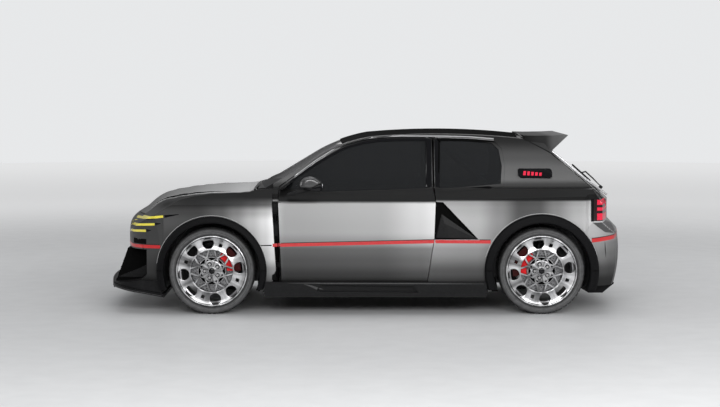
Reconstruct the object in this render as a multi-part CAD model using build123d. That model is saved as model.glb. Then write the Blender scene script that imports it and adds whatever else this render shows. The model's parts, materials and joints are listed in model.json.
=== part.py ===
from build123d import *
import math
import os

os.makedirs("parts", exist_ok=True)

# Frame: X runs rearward, Y to the car's right, Z up. The origin is on the ground at mid length.
# All sizes are in millimetres.

# Overall size
LENGTH = 4080
HEIGHT = 1403
WHEELBASE = 2540
FRONT_OVERHANG = 850
AXLE_TO_WINDSCREEN = 359
LOFT_HALF = 960
CABIN_HALF = 800

NOSE = -LENGTH / 2
TAIL = LENGTH / 2
FRONT = NOSE + FRONT_OVERHANG
REAR = FRONT + WHEELBASE
CABIN = FRONT + AXLE_TO_WINDSCREEN

# Body shell
SIDE_WALL = 62
TOP_WALL = 30
PILLAR_WALL = 42
ROOF_WALL = 28
SILL_Z = 170
SEAM = 0.8
LID_GAP = 5
FIT = 0.3
RUNNING = 0.05
LEDGE_SLOPE = 0.528
LEDGE_INNER_Y = 480
WAIST_Z = 500
BEYOND = 1200
SKY = 1600

# Wheels
TYRE_R = 333
TYRE_WIDTH = 245
TREAD_CORNER = 28
SIDEWALL_BULGE = 6
WHEEL_FACE_Y = 900
RIM_LIP_R = 274
RIM_LIP_WIDTH = 10
BARREL_R = 246
BARREL_WALL = 8
DISH_R = 262
DISH_INNER_R = 163
DISH_THICK = 14
DISH_INSET = 12
WHEEL_HOLE_R = 44
WHEEL_HOLE_PCR = 213
WHEEL_HOLES = 8
SLOT_SIDE = 26
SLOT_PCR = 206
SLOTS = 4
HUB_R = 81
LATTICE_BARS = 8
LATTICE_SWING = 38
LATTICE_WIDTH = 11
LATTICE_THICK = 12
LUG_PCD = 108
LUG_HOLE_R = 7.5
LUGS = 5
WHEEL_Y = WHEEL_FACE_Y - TYRE_WIDTH / 2

# Brakes, hubs and steering
DISC_R = 170
DISC_THICK = 30
DISC_FACE_Y = 826
HAT_R = 84
HUB_FACE_Y = 842
HUB_BACK_Y = 786
SPINDLE_R = 22
CALIPER_R = 222
CALIPER_INNER_R = 116
CALIPER_OUTER_Y = 851
CALIPER_INNER_Y = 756
BRAKE_GAP = 5
EAR_THICK = 14
KING_Y = 745
KING_PIN_R = 12
KNUCKLE_TOP_Z = 452
KNUCKLE_BOTTOM_Z = 214
ARM_THICK = 24
ARM_WIDTH = 44
EYE_R = 26

# Wheel arches
FLARE_IN_R = 371
FLARE_FRONT_R = 422
FLARE_REAR_R = 439
FLARE_FACE_Y = 930
FLARE_BACK_Y = 838
FLARE_FOOT_Z = 190
HOUSING_WALL = 5
HOUSING_HOLE_R = 190
HOUSING_FOOT_Z = 210
FRONT_WELL_Y = 485
REAR_WELL_Y = 600

# Doors and their glass, outlines in side view as points (x, z)
DOOR_GLASS_OUTLINE = [
    (CABIN + 190, 958), (CABIN + 307, 1050), (CABIN + 449, 1143), (CABIN + 591, 1225), (CABIN + 678, 1266),
    (CABIN + 810, 1303), (CABIN + 940, 1320), (CABIN + 1104, 1326), (CABIN + 1312, 1326), (CABIN + 1303, 1120),
    (CABIN + 1303, 962), (CABIN + 940, 949), (CABIN + 493, 936), (CABIN + 301, 950),
]
QUARTER_GLASS_OUTLINE = [
    (CABIN + 1408, 1326), (CABIN + 1631, 1322), (CABIN + 1816, 1306), (CABIN + 1868, 1256),
    (CABIN + 1890, 1132), (CABIN + 1878, 993), (CABIN + 1561, 968), (CABIN + 1396, 962),
]
DOOR_FRONT_X = CABIN + 155
DOOR_REAR_X = CABIN + 1363
DOOR_BOTTOM_Z = 258
DOOR_OUTLINE = [
    (DOOR_FRONT_X + 24, DOOR_BOTTOM_Z), (DOOR_FRONT_X, 851), (DOOR_FRONT_X, 968), (CABIN + 299, 1070),
    (CABIN + 441, 1163), (CABIN + 583, 1245), (CABIN + 671, 1287), (CABIN + 807, 1324), (CABIN + 938, 1341),
    (CABIN + 1104, 1347), (CABIN + 1345, 1347), (CABIN + 1346, 980), (DOOR_REAR_X, 862),
    (DOOR_REAR_X - 10, 581), (DOOR_REAR_X - 26, 494), (DOOR_REAR_X - 62, DOOR_BOTTOM_Z),
]
RECESS_OUTLINE = [
    (DOOR_REAR_X - 2, 869), (CABIN + 1420, 865), (CABIN + 1695, 577), (DOOR_REAR_X - 16, 577),
]
RECESS_FLOOR_Y = 862
PILLAR_GAP = 16
VENT_WIDTH = 50
WING_REAR_X = DOOR_FRONT_X - VENT_WIDTH
POST_FACE_Y = 815
POST_BACK_X = DOOR_FRONT_X - 6
DOOR_AXIS_X = DOOR_FRONT_X - 24
DOOR_AXIS_Y = 860
DOOR_HINGES_Z = (380, 740)
HINGE_PIN_R = 8
HINGE_EYE_R = 16
HINGE_HEIGHT = 40

# Bonnet and tailgate
BONNET_REAR_X = CABIN - 53
COWL_X = BONNET_REAR_X + 34
BONNET_AXIS_X = BONNET_REAR_X + 12
BONNET_AXIS_Z = 940
BONNET_HINGE_Y = 560
SLIT_OUTLINE = [
    (NOSE + 345, -575), (NOSE + 570, -622), (NOSE + 950, -642), (NOSE + 570, -588),
]
LAMP_LINE = [(NOSE - 100, 713), (NOSE + 120, 731), (NOSE + 486, 768)]
WING_FRONT_X = NOSE + 480
ROOF_REAR_X = TAIL - 848
GATE_AXIS_X = ROOF_REAR_X + 16
GATE_AXIS_Z = HEIGHT - 47
GATE_HINGE_Y = 250
LID_PIN_R = 5
LID_EYE_R = 10
LID_HINGE_WIDTH = 30
GATE_HALF = 590
GATE_LEAD = 16
ROOF_HALF = 500

# Side profiles, from the nose's foot over the top to the tail's foot.
# Columns: x, z, inward x and inward z of the inner face, and x and z set-back at the body's edge.
# Two rows in a list are the middle and the end of an arc.
BODY_PROFILE = [
    (NOSE + 132, SILL_Z, 1, -2.5, 175, 0),
    (NOSE + 128, 560, 1, 0, 175, 0),
    [(NOSE + 146, 655, 1, -0.4, 175, -8), (NOSE + 215, 735, 0.7, -0.9, 170, -15)],
    [(NOSE + 547, 899, 0.2, -1, 90, -30), (CABIN - 104, 962, 0, -1, 60, -35)],
    (CABIN + 231, 985, 0, -1, 0, -30),
    (TAIL - 250, 975, -0.5, -1, -60, -25),
    (TAIL - 97, 860, -1, -0.6, -165, 0),
    (TAIL - 95, 705, -1, 0.6, -165, 0),
    (TAIL - 16, 624, -1, 0, -175, 0),
    [(TAIL, 450, -1, 0, -175, 0), (TAIL - 45, SILL_Z, -1, -2.5, -165, 0)],
]
CABIN_PROFILE = [
    (CABIN - 226, 840, 1.6, -1, 120, 0),
    (CABIN + 444, HEIGHT - 164, 0.6, -0.9, 110, -20),
    [(CABIN + 593, HEIGHT - 94, 0.4, -1, 100, -35), (CABIN + 834, HEIGHT - 26, 0.1, -1, 70, -50)],
    [(CABIN + 1331, HEIGHT, 0, -1, 0, -60), (TAIL - 835, HEIGHT - 33, 0, -1, 0, -60)],
    (TAIL - 640, HEIGHT - 60, -0.4, -1, -30, -55),
    (TAIL - 540, HEIGHT - 158, -1, -0.6, -60, -30),
    (TAIL - 97, 866, -1.2, 0, -110, 0),
    (TAIL - 97, 840, -1.2, -1, -110, 0),
]

# Body sides. Columns: x, sill half width, waist half width, shoulder half width, shoulder z.
SIDE_STATIONS = [
    (NOSE - 110, 790, 830, 806, 790),
    (FRONT - 330, 850, 878, 866, 838),
    (CABIN + 131, 866, 890, 890, 853),
    (CABIN + 1431, 866, 890, 894, 876),
    (REAR + 50, 868, 898, 900, 902),
    (TAIL + 110, 815, 845, 845, 905),
]

# Cabin sides. Columns: z, half width at the front, in the middle and at the back.
CABIN_STATIONS = [
    (840, 690, 752, 690),
    (HEIGHT + 17, 470, 530, 450),
]


def prism_side(points, y_from, y_to):
    """Prism across the car from an outline in side view, points (x, z)."""
    outline = Polyline(*[(x, y_from, z) for x, z in points], close=True)
    return extrude(make_face(outline), amount=y_to - y_from, dir=(0, 1, 0))


def prism_plan(points, z_from, z_to):
    """Upright prism from an outline in plan, points (x, y)."""
    outline = Polyline(*[(x, y, z_from) for x, y in points], close=True)
    return extrude(make_face(outline), amount=z_to - z_from, dir=(0, 0, 1))


def block(x0, x1, y0, y1, z0, z1):
    """Box between two corners."""
    centre = ((x0 + x1) / 2, (y0 + y1) / 2, (z0 + z1) / 2)
    return Pos(*centre) * Box(abs(x1 - x0), abs(y1 - y0), abs(z1 - z0))


def rod(start, end, radius):
    """Round bar between two points."""
    axis = Vector(*end) - Vector(*start)
    plane = Plane(origin=start, z_dir=axis.normalized())
    return extrude(plane * Circle(radius), amount=axis.length)


def across(x, z, radius, y0, y1):
    """Cylinder that lies across the car."""
    return rod((x, min(y0, y1), z), (x, max(y0, y1), z), radius)


def upright(x, y, z0, z1, radius):
    """Cylinder that stands up."""
    return rod((x, y, z0), (x, y, z1), radius)


def fused(pieces):
    """One solid from several that meet."""
    return pieces[0] + list(pieces[1:])


def biggest(shape):
    """The largest solid of a shape."""
    return max(shape.solids(), key=lambda piece: piece.volume)


def left_of_car(shape):
    """The half of a shape on the car's left."""
    return shape & block(-LENGTH, LENGTH, -BEYOND, 0, -SKY, SKY)


def other_side(shape):
    """The same piece on the car's right."""
    return mirror(shape, about=Plane.XZ)


def both_sides(shape):
    """A left piece and its mirror image in one node."""
    return Compound(children=[*shape.solids(), *other_side(shape).solids()])


def save(node, shape):
    """Write one node."""
    solids = shape.solids()
    whole = solids[0] if len(solids) == 1 else Compound(children=solids)
    export_step(whole, f"parts/{node}.step")


def save_pair(node, shape):
    """Write a left piece and its mirror image as two nodes."""
    save(f"{node}_left", shape)
    save(f"{node}_right", other_side(shape))


def closed_wire(points):
    """Wire through 3-D points. A pair in a list is the middle and the end of an arc."""
    edges = []
    at = points[0]
    for step in points[1:]:
        if isinstance(step, list):
            edges.append(Edge.make_three_point_arc(at, step[0], step[1]))
            at = step[1]
        else:
            edges.append(Edge.make_line(at, step))
            at = step
    edges.append(Edge.make_line(at, points[0]))
    return Wire(edges)


def profile_loft(table, half, side_wall, top_wall):
    """Body skin crowned across the car: three side profiles, the outer two set back."""
    sections = []
    for y, edge in ((-half, 1), (0, 0), (half, 1)):
        def place(row):
            x, z, in_x, in_z, back_x, back_z = row
            return (x + in_x * side_wall + edge * back_x, y, z + in_z * top_wall + edge * back_z)
        points = [[place(r) for r in row] if isinstance(row, list) else place(row) for row in table]
        sections.append(closed_wire(points))
    return Solid.make_loft(sections)


def side_loft(wall):
    """Body width and shoulder ledge, from cross-sections along the car."""
    sections = []
    for x, sill_y, waist_y, shoulder_y, shoulder_z in SIDE_STATIONS:
        edge_z = shoulder_z - 0.6 * wall
        top_z = edge_z + LEDGE_SLOPE * (shoulder_y - wall - LEDGE_INNER_Y)
        half = [
            (sill_y - wall, SILL_Z - 80),
            (waist_y - wall, WAIST_Z),
            (shoulder_y - wall, edge_z),
            (LEDGE_INNER_Y, top_z),
            (LEDGE_INNER_Y, SKY),
        ]
        ring = [(x, y, z) for y, z in half] + [(x, -y, z) for y, z in reversed(half)]
        sections.append(closed_wire(ring))
    return Solid.make_loft(sections)


def cabin_sides(wall):
    """Cabin width with its tumblehome, from two plan outlines."""
    sections = []
    x_front, x_middle, x_back = CABIN - 300, CABIN + 981, TAIL + 60
    for z, front_y, middle_y, back_y in CABIN_STATIONS:
        sections.append(closed_wire([
            (x_front, front_y - wall, z),
            [(x_middle, middle_y - wall, z), (x_back, back_y - wall, z)],
            (x_back, wall - back_y, z),
            [(x_middle, wall - middle_y, z), (x_front, wall - front_y, z)],
        ]))
    return Solid.make_loft(sections)


def rounded_plan(z_from, z_to):
    """Plan outline that rounds the four corners of the bumpers."""
    half = [
        (NOSE - 60, 400),
        (NOSE + 206, 640),
        (NOSE + 305, 795),
        (NOSE + 450, 872),
        (NOSE + 540, LOFT_HALF),
        (TAIL - 420, LOFT_HALF),
        (TAIL - 330, 862),
        (TAIL - 150, 780),
        (TAIL - 78, 620),
        (TAIL + 60, 380),
    ]
    ring = [(x, y, z_from) for x, y in half] + [(x, -y, z_from) for x, y in reversed(half)]
    points = ring[:2] + [ring[2:4]] + ring[4:7] + [ring[7:9]] + ring[9:12] + [ring[12:14]]
    points += ring[14:17] + [ring[17:19]] + ring[19:]
    return extrude(Face(closed_wire(points)), amount=z_to - z_from, dir=(0, 0, 1))


def body_volume(side_wall, nose_wall, top_wall):
    """Everything below the windows as one closed volume."""
    return profile_loft(BODY_PROFILE, LOFT_HALF, nose_wall, top_wall) & side_loft(side_wall)


def cabin_volume(side_wall, front_wall, roof_wall):
    """Everything above the belt as one closed volume."""
    return profile_loft(CABIN_PROFILE, CABIN_HALF, front_wall, roof_wall) & cabin_sides(side_wall)


def windscreen_prism():
    """Plan outline of the windscreen, its lower and upper edges bowed."""
    foot_x, foot_y, head_x, head_y = CABIN + 190, 622, CABIN + 650, 515
    ring = [
        (foot_x, -foot_y, 0),
        [(CABIN + 50, 0, 0), (foot_x, foot_y, 0)],
        (head_x, head_y, 0),
        [(head_x - 30, 0, 0), (head_x, -head_y, 0)],
    ]
    return Pos(0, 0, 986) * extrude(Face(closed_wire(ring)), amount=SKY, dir=(0, 0, 1))


def rear_glass_prism():
    """Plan outline of the glass in the tailgate."""
    return prism_plan([
        (TAIL - 510, -480), (TAIL - 190, -560), (TAIL - 190, 560), (TAIL - 510, 480),
    ], 860, SKY)


def side_window_prism(outline):
    """Cut for one outline through the left side."""
    return prism_side(outline, -BEYOND, -400)


# Body skin with its windows and wheel arches cut
body_outer = body_volume(0, 0, 0) & rounded_plan(0, SKY)
cabin_outer = cabin_volume(0, 0, 0)
outer = body_outer + cabin_outer
inner = body_volume(SIDE_WALL, SIDE_WALL, TOP_WALL) + cabin_volume(PILLAR_WALL, ROOF_WALL, ROOF_WALL)
skin = outer - inner
for window in (windscreen_prism(), rear_glass_prism()):
    skin = skin - window
for outline in (DOOR_GLASS_OUTLINE, QUARTER_GLASS_OUTLINE):
    cut = side_window_prism(outline)
    skin = skin - cut - other_side(cut)
for axle_x, arch_r in ((FRONT, FLARE_FRONT_R), (REAR, FLARE_REAR_R)):
    arch = across(axle_x, TYRE_R, arch_r + SEAM, -BEYOND, -FRONT_WELL_Y)
    skin = skin - arch - other_side(arch)
glass_layer = cabin_volume(6, 6, 6) - cabin_volume(11, 11, 11)


def skin_part(region):
    """The body skin inside a region."""
    return skin & region


def window_glass(prism):
    """Glass 5 mm thick, set 6 mm into its opening."""
    return glass_layer & prism


# Regions that divide the skin
def bonnet_region(gap):
    """Bonnet in plan, above the lamp line."""
    half = [(NOSE + 60, 540), (NOSE + 205, 565), (NOSE + 540, 655), (BONNET_REAR_X, 690)]
    ring = [(x, -(y - gap)) for x, y in half] + [(x, y - gap) for x, y in reversed(half)]
    return prism_plan(ring, 600, SKY) & above_lamps(gap)


def above_lamps(gap):
    """Space above the line of the highest lamp bar."""
    ring = [(x, z + gap) for x, z in LAMP_LINE]
    ring += [(BONNET_REAR_X + 400, 900), (BONNET_REAR_X + 400, SKY), (NOSE - 100, SKY)]
    return prism_side(ring, -BEYOND, BEYOND)


def make_bonnet():
    """Bonnet skin with a slit near each side."""
    slit = prism_plan(SLIT_OUTLINE, 700, SKY)
    return skin_part(bonnet_region(LID_GAP)) - slit - other_side(slit)


cowl_region = block(COWL_X, CABIN + 300, -600, 600, 880, SKY)
roof_region = block(CABIN + 560, ROOF_REAR_X, -ROOF_HALF, ROOF_HALF, 1200, SKY)
foot_region = block(COWL_X, WING_REAR_X, -720, 720, 967, SKY)


def make_wing():
    """Left front wing, from the bumper to the vent behind the wheel."""
    zone = block(WING_FRONT_X + SEAM, WING_REAR_X, -BEYOND, -300, SILL_Z - 20, SKY)
    zone = zone + (above_lamps(SEAM / 2) & block(NOSE, WING_FRONT_X + 2 * SEAM, -BEYOND, -300, 600, SKY))
    wing = skin_part(zone) - bonnet_region(0)
    wing = wing - block(BONNET_REAR_X - 1, WING_REAR_X, -690, 0, 600, SKY)
    wing = wing - block(COWL_X - SEAM, WING_REAR_X, -722, 0, 960, SKY)
    return biggest(wing)


# Threads for screw-in tow eyes
TOW_THREAD_R = 8
TOW_Y = 380
FRONT_TOW_Z = 150
REAR_TOW_Z = 330

# Front bumper: openings and lamp bars, outlines in side view
INTAKE_OUTLINE = [
    (NOSE - 60, 492), (NOSE + 344, 495), (NOSE + 344, 300), (NOSE + 288, 256), (NOSE - 60, 256),
]
POCKET_OUTLINE = [(NOSE + 227, 535), (NOSE + 343, 535), (NOSE + 343, 577), (NOSE + 227, 577)]
POCKET_DEPTH = 26
LAMP_HALF_HEIGHT = 9
LAMP_INNER_Y = 640
# Columns: x and z of the front end, x and z of the rear end.
LAMP_BARS = [
    (NOSE + 60, 714, NOSE + 478, 753),
    (NOSE + 60, 669, NOSE + 414, 693),
    (NOSE + 60, 622, NOSE + 343, 640),
]
LIP_OUTLINE = [
    (NOSE + 12, 134), (NOSE + 12, 160), (NOSE + 288, 256), (NOSE + 344, 300), (NOSE + 465, 300),
    (NOSE + 465, 134),
]


def lamp_bar_cuts(gap):
    """Slots for the bars of the left headlamp."""
    half = LAMP_HALF_HEIGHT + gap
    bars = []
    for x0, z0, x1, z1 in LAMP_BARS:
        ring = [(x0, z0 - half), (x1 + gap, z1 - half), (x1 + gap, z1 + half), (x0, z0 + half)]
        bars.append(prism_side(ring, -BEYOND, gap - LAMP_INNER_Y))
    return bars


def nose_plan(margin, z_from, z_to):
    """Plan of the lip and splitter: a bowed front with rounded corners."""
    ring = [
        (WING_FRONT_X, -(872 + margin), z_from),
        (NOSE + 330, -(850 + margin), z_from),
        [(NOSE + 130 - margin, -(770 + margin), z_from), (NOSE + 60 - margin, -(600 + margin), z_from)],
        [(NOSE + 8 - margin, 0, z_from), (NOSE + 60 - margin, 600 + margin, z_from)],
        [(NOSE + 130 - margin, 770 + margin, z_from), (NOSE + 330, 850 + margin, z_from)],
        (WING_FRONT_X, 872 + margin, z_from),
    ]
    return extrude(Face(closed_wire(ring)), amount=z_to - z_from, dir=(0, 0, 1))


def make_front_bumper():
    """Front bumper with its intake, lamp slots and a shallow pocket on each side."""
    zone = block(NOSE - 100, WING_FRONT_X, -BEYOND, BEYOND, SILL_Z - 20, SKY) - above_lamps(-SEAM / 2)
    bumper = skin_part(zone) - prism_side(INTAKE_OUTLINE, -BEYOND, BEYOND)
    for bar in lamp_bar_cuts(FIT):
        bumper = bumper - bar - other_side(bar)
    pocket = prism_side(POCKET_OUTLINE, -BEYOND, -600) - body_volume(POCKET_DEPTH, POCKET_DEPTH, 0)
    bumper = bumper - pocket - other_side(pocket)
    return bumper - block(NOSE - 100, WING_FRONT_X, -BEYOND, BEYOND, 0, 256)


def make_front_lip():
    """Lower lip that carries the intake's foot and the tow thread."""
    lip = prism_side(LIP_OUTLINE, -BEYOND, BEYOND) & nose_plan(0, 0, 400)
    for y in (-1, 1):
        arch = across(FRONT, TYRE_R, FLARE_FRONT_R + SEAM, y * 600, y * BEYOND)
        lip = lip - arch
    thread = rod((NOSE - 10, -TOW_Y, FRONT_TOW_Z), (NOSE + 89, -TOW_Y, FRONT_TOW_Z), TOW_THREAD_R)
    return lip - block(NOSE - 100, WING_FRONT_X, -BEYOND, BEYOND, 256 - FIT, 400) - thread


def make_headlamps():
    """Three bars of light at each corner."""
    bars = [skin_part(bar) for bar in lamp_bar_cuts(0)]
    return both_sides(Compound(children=[s for bar in bars for s in bar.solids()]))


def make_front_grille():
    """Intake grille that slopes from the bumper down to the lip."""
    top_x, top_z, foot_x, foot_z, depth = NOSE + 175, 491.5, NOSE + 60, 198, 26
    slats, slat_height, half = 6, 12, 640
    pieces = []
    for index in range(slats + 1):
        share = index / slats
        x = top_x + (foot_x - top_x) * share
        z = top_z + (foot_z - top_z) * share
        pieces.append(block(x, x + depth, -half, half, z - slat_height, z))
    for y in (-half, -half / 2, 0, half / 2, half - 14):
        ring = [
            (top_x + depth / 2, top_z), (top_x + depth, top_z), (foot_x + depth, foot_z - slat_height),
            (foot_x + depth / 2, foot_z - slat_height),
        ]
        pieces.append(prism_side(ring, y, y + 14))
    end_plate = [
        (top_x, top_z), (NOSE + 343, top_z), (NOSE + 343, 300.5), (NOSE + 288, 256.5), (foot_x, 177.1),
    ]
    for y in (-half, half - 14):
        pieces.append(prism_side(end_plate, y, y + 14))
    return fused(pieces)


def make_front_splitter():
    """Flat blade under the lip."""
    plate = nose_plan(8, 108, 133.7)
    for y in (-1, 1):
        plate = plate - across(FRONT, TYRE_R, FLARE_FRONT_R + SEAM, y * 600, y * BEYOND)
    return plate


def make_door():
    """Left door with its window frame."""
    gap = LID_GAP
    door = skin_part(prism_side(DOOR_OUTLINE, -BEYOND, -ROOF_HALF - LID_GAP))
    door = biggest(door)
    for z in DOOR_HINGES_Z:
        low, high = z - HINGE_HEIGHT / 2, z + HINGE_HEIGHT / 2
        leaf = block(DOOR_AXIS_X, DOOR_FRONT_X + 30, -DOOR_AXIS_Y - 8, -DOOR_AXIS_Y + 8, low, high)
        eye = upright(DOOR_AXIS_X, -DOOR_AXIS_Y, low, high, HINGE_EYE_R)
        bore = upright(DOOR_AXIS_X, -DOOR_AXIS_Y, low - gap, high + gap, HINGE_PIN_R + RUNNING)
        door = (door + leaf + eye) - bore
    return door


def door_opening():
    """Space that the left door and its gap take from the body."""
    ring = []
    for x, z in DOOR_OUTLINE:
        rear = x > CABIN + 1200
        gap_x = LID_GAP if rear and z < 970 else (PILLAR_GAP if rear else -LID_GAP)
        gap_z = -LID_GAP if z < 300 else (LID_GAP if z > 960 else 0)
        ring.append((x + gap_x, z + gap_z))
    return prism_side(ring, -BEYOND, -400)


def make_front_post():
    """Left door post behind the vent, with its two hinge pins."""
    post = block(WING_REAR_X + 1, POST_BACK_X, -POST_FACE_Y, -700, 172, 858)
    post = post + block(WING_REAR_X + 1, POST_BACK_X, -745, -655, 172, 912)
    post = post + block(WING_REAR_X + 1, DOOR_FRONT_X + 80, -POST_FACE_Y, -770, 172, DOOR_BOTTOM_Z - 12)
    for z in DOOR_HINGES_Z:
        reach = HINGE_HEIGHT / 2 + FIT
        post = post + upright(DOOR_AXIS_X, -DOOR_AXIS_Y, z - reach - 12, z + reach + 12, HINGE_PIN_R)
        for low in (z - reach - 12, z + reach):
            post = post + block(DOOR_AXIS_X - 12, DOOR_AXIS_X + 12, -DOOR_AXIS_Y - 12, -POST_FACE_Y, low, low + 12)
    return post


def make_side_frame():
    """Left body side: sill, pillars, roof rail and rear quarter."""
    zone = block(WING_REAR_X + 1, TAIL + 60, -BEYOND, -ROOF_HALF - SEAM, SILL_Z - 20, SKY)
    zone = zone + block(ROOF_REAR_X + SEAM, TAIL + 60, -ROOF_HALF - 2, -360, SILL_Z - 20, SKY)
    zone = zone + (foot_region & block(-LENGTH, LENGTH, -BEYOND, -600 - SEAM, 0, SKY))
    zone = zone - block(COWL_X - 1, CABIN + 300, -600 - SEAM, 0, 880, 1150)
    frame = skin_part(zone) - door_opening() - gate_region(-LID_GAP) - rear_bumper_region(-SEAM)
    frame = frame - tail_lamp_region(-FIT)
    vent_slot = [
        (WING_REAR_X - 10, 0), (DOOR_FRONT_X + 2, 0), (DOOR_FRONT_X + 2, DOOR_BOTTOM_Z - 12),
        (DOOR_FRONT_X + 26, DOOR_BOTTOM_Z - 5), (DOOR_FRONT_X + 2, 851), (DOOR_FRONT_X + 2, 950), (WING_REAR_X - 10, 950),
    ]
    frame = frame - prism_side(vent_slot, -BEYOND, -760)
    frame = frame - prism_side(RECESS_OUTLINE, -BEYOND, -RECESS_FLOOR_Y)
    frame = frame + make_front_post()
    return biggest(frame)


def gate_region(grow):
    """Tailgate: the rear of the roof and the panel between the lamps."""
    g = -grow
    upper = prism_side([
        (GATE_AXIS_X + GATE_LEAD - g, SKY), (GATE_AXIS_X + GATE_LEAD - g, 1352 - g), (TAIL - 590 - g, 1232 - g),
        (TAIL - 190 - g, 893 - g), (TAIL + 80, 893 - g), (TAIL + 80, SKY),
    ], -BEYOND, BEYOND)
    lower = block(TAIL - 240 - g, TAIL + 80, -GATE_HALF - g, GATE_HALF + g, 712 - g, 900)
    return upper + lower


def rear_bumper_region(grow):
    """Rear bumper in side view."""
    g = -grow
    return prism_side([
        (REAR + 250 - g, 100), (REAR + 250 - g, 560 + g), (REAR + 395 - g, 706 + g), (TAIL + 80, 706 + g),
        (TAIL + 80, 100),
    ], -BEYOND, BEYOND)


def tail_lamp_region(grow):
    """Tail lamps at the rear corners."""
    g = -grow
    left = block(TAIL - 293 - g, TAIL + 60, -BEYOND, -GATE_HALF - LID_GAP - 1 + g, 716 - g, 886 + g)
    return left + other_side(left)


def make_tailgate():
    """Tailgate skin with its two hinge eyes."""
    gate = skin_part(gate_region(0))
    return biggest(gate)


# Exhaust tail pipes
TAIL_PIPE_Y = 150
TAIL_PIPE_R = 34
TAIL_PIPE_X = REAR + 310
TAIL_PIPE_Z = 262


def tail_pipe(y, radius, end_x):
    """Tail pipe that rises slightly to the rear."""
    return rod((TAIL_PIPE_X, y, TAIL_PIPE_Z), (end_x, y, TAIL_PIPE_Z + 0.045 * (end_x - TAIL_PIPE_X)), radius)


def make_rear_bumper():
    """Rear bumper skin."""
    bumper = skin_part(rear_bumper_region(0)) - block(0, TAIL + 80, -BEYOND, BEYOND, 0, 215)
    bumper = bumper - tail_lamp_region(-FIT)
    for y in (-TAIL_PIPE_Y, TAIL_PIPE_Y):
        bumper = bumper - tail_pipe(y, TAIL_PIPE_R + 8, TAIL + 100)
    bumper = bumper - rod((TAIL - 150, TOW_Y, REAR_TOW_Z), (TAIL + 20, TOW_Y, REAR_TOW_Z), TOW_THREAD_R)
    return biggest(bumper)


def make_arch_flare(axle_x, outer_r):
    """Left wheel arch flare, proud of the body, with a rolled inner lip and a bevelled rim."""
    ring = ring_solid([
        (FLARE_IN_R, -FLARE_BACK_Y), (FLARE_IN_R, -FLARE_FACE_Y + 8), (FLARE_IN_R + 7, -FLARE_FACE_Y),
        (FLARE_IN_R + 16, -FLARE_FACE_Y + 4), (outer_r - 12, -FLARE_FACE_Y + 10), (outer_r, -FLARE_FACE_Y + 22),
        (outer_r, -FLARE_BACK_Y),
    ], axle_x)
    return ring & block(-LENGTH, LENGTH, -BEYOND, 0, FLARE_FOOT_Z, SKY)


def make_housing(axle_x, well_y):
    """Left wheel housing behind the flare: arch and inner wall."""
    shell = across(axle_x, TYRE_R, FLARE_IN_R + HOUSING_WALL, -FLARE_BACK_Y, -well_y)
    shell = shell - across(axle_x, TYRE_R, FLARE_IN_R, -BEYOND, 0)
    wall = across(axle_x, TYRE_R, FLARE_IN_R + HOUSING_WALL, -well_y - HOUSING_WALL, -well_y)
    shell = shell + (wall - across(axle_x, TYRE_R, HOUSING_HOLE_R, -BEYOND, 0))
    shell = shell & block(-LENGTH, LENGTH, -BEYOND, 0, HOUSING_FOOT_Z, SKY)
    return shell


def lid_hinge_eye(x, y, z, root_x, low_z):
    """Eye of a lid hinge, joined to the lid's edge."""
    half = LID_HINGE_WIDTH / 2
    eye = across(x, z, LID_EYE_R, y - half, y + half)
    eye = eye + block(min(x, root_x), max(x, root_x), y - half, y + half, low_z, z)
    return eye - across(x, z, LID_PIN_R + RUNNING, y - BEYOND, y + BEYOND)


def lid_hinge_fork(x, y, z, root_x, low_z):
    """Fixed fork with its pin, joined to the body."""
    half = LID_HINGE_WIDTH / 2 + FIT
    fork = across(x, z, LID_PIN_R, y - half - 6, y + half + 6)
    for side in (y - half - 6, y + half):
        fork = fork + across(x, z, LID_EYE_R - 1, side, side + 6)
        fork = fork + block(min(x, root_x), max(x, root_x), side, side + 6, low_z, z)
    return fork


def make_hinged_bonnet():
    """Bonnet with its two hinge eyes."""
    bonnet = make_bonnet()
    for y in (-BONNET_HINGE_Y, BONNET_HINGE_Y):
        bonnet = bonnet + lid_hinge_eye(BONNET_AXIS_X, y, BONNET_AXIS_Z, BONNET_REAR_X - 20, BONNET_AXIS_Z - 12)
    return bonnet


def make_cowl():
    """Cowl below the windscreen with the bonnet's hinge forks."""
    cowl = biggest(skin_part(cowl_region))
    for y in (-BONNET_HINGE_Y, BONNET_HINGE_Y):
        cowl = cowl + lid_hinge_fork(BONNET_AXIS_X, y, BONNET_AXIS_Z, COWL_X + 12, BONNET_AXIS_Z - 14)
    return cowl


def make_roof():
    """Roof panel with the tailgate's hinge forks."""
    roof = biggest(skin_part(roof_region))
    for y in (-GATE_HINGE_Y, GATE_HINGE_Y):
        roof = roof + lid_hinge_fork(GATE_AXIS_X, y, GATE_AXIS_Z, ROOF_REAR_X - 12, GATE_AXIS_Z - 12)
    return roof


def make_hinged_tailgate():
    """Tailgate with its two hinge eyes."""
    gate = make_tailgate()
    for y in (-GATE_HINGE_Y, GATE_HINGE_Y):
        gate = gate + lid_hinge_eye(GATE_AXIS_X, y, GATE_AXIS_Z, GATE_AXIS_X + 24, GATE_AXIS_Z - 12)
    return gate


def make_spoiler():
    """Roof spoiler with its two side fins."""
    start = GATE_AXIS_X + 34
    plate = prism_side([
        (start, HEIGHT - 75), (start, HEIGHT - 27), (TAIL - 394, HEIGHT - 27), (TAIL - 402, HEIGHT - 51),
        (TAIL - 640, HEIGHT - 72),
    ], -545, 545)
    fin = prism_side([
        (TAIL - 660, HEIGHT - 60), (TAIL - 402, HEIGHT - 50), (TAIL - 548, HEIGHT - 152), (TAIL - 600, HEIGHT - 152),
    ], -545, -520)
    return biggest(fused([plate, fin, other_side(fin)]) - cabin_volume(-FIT, -FIT, -FIT))


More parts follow.
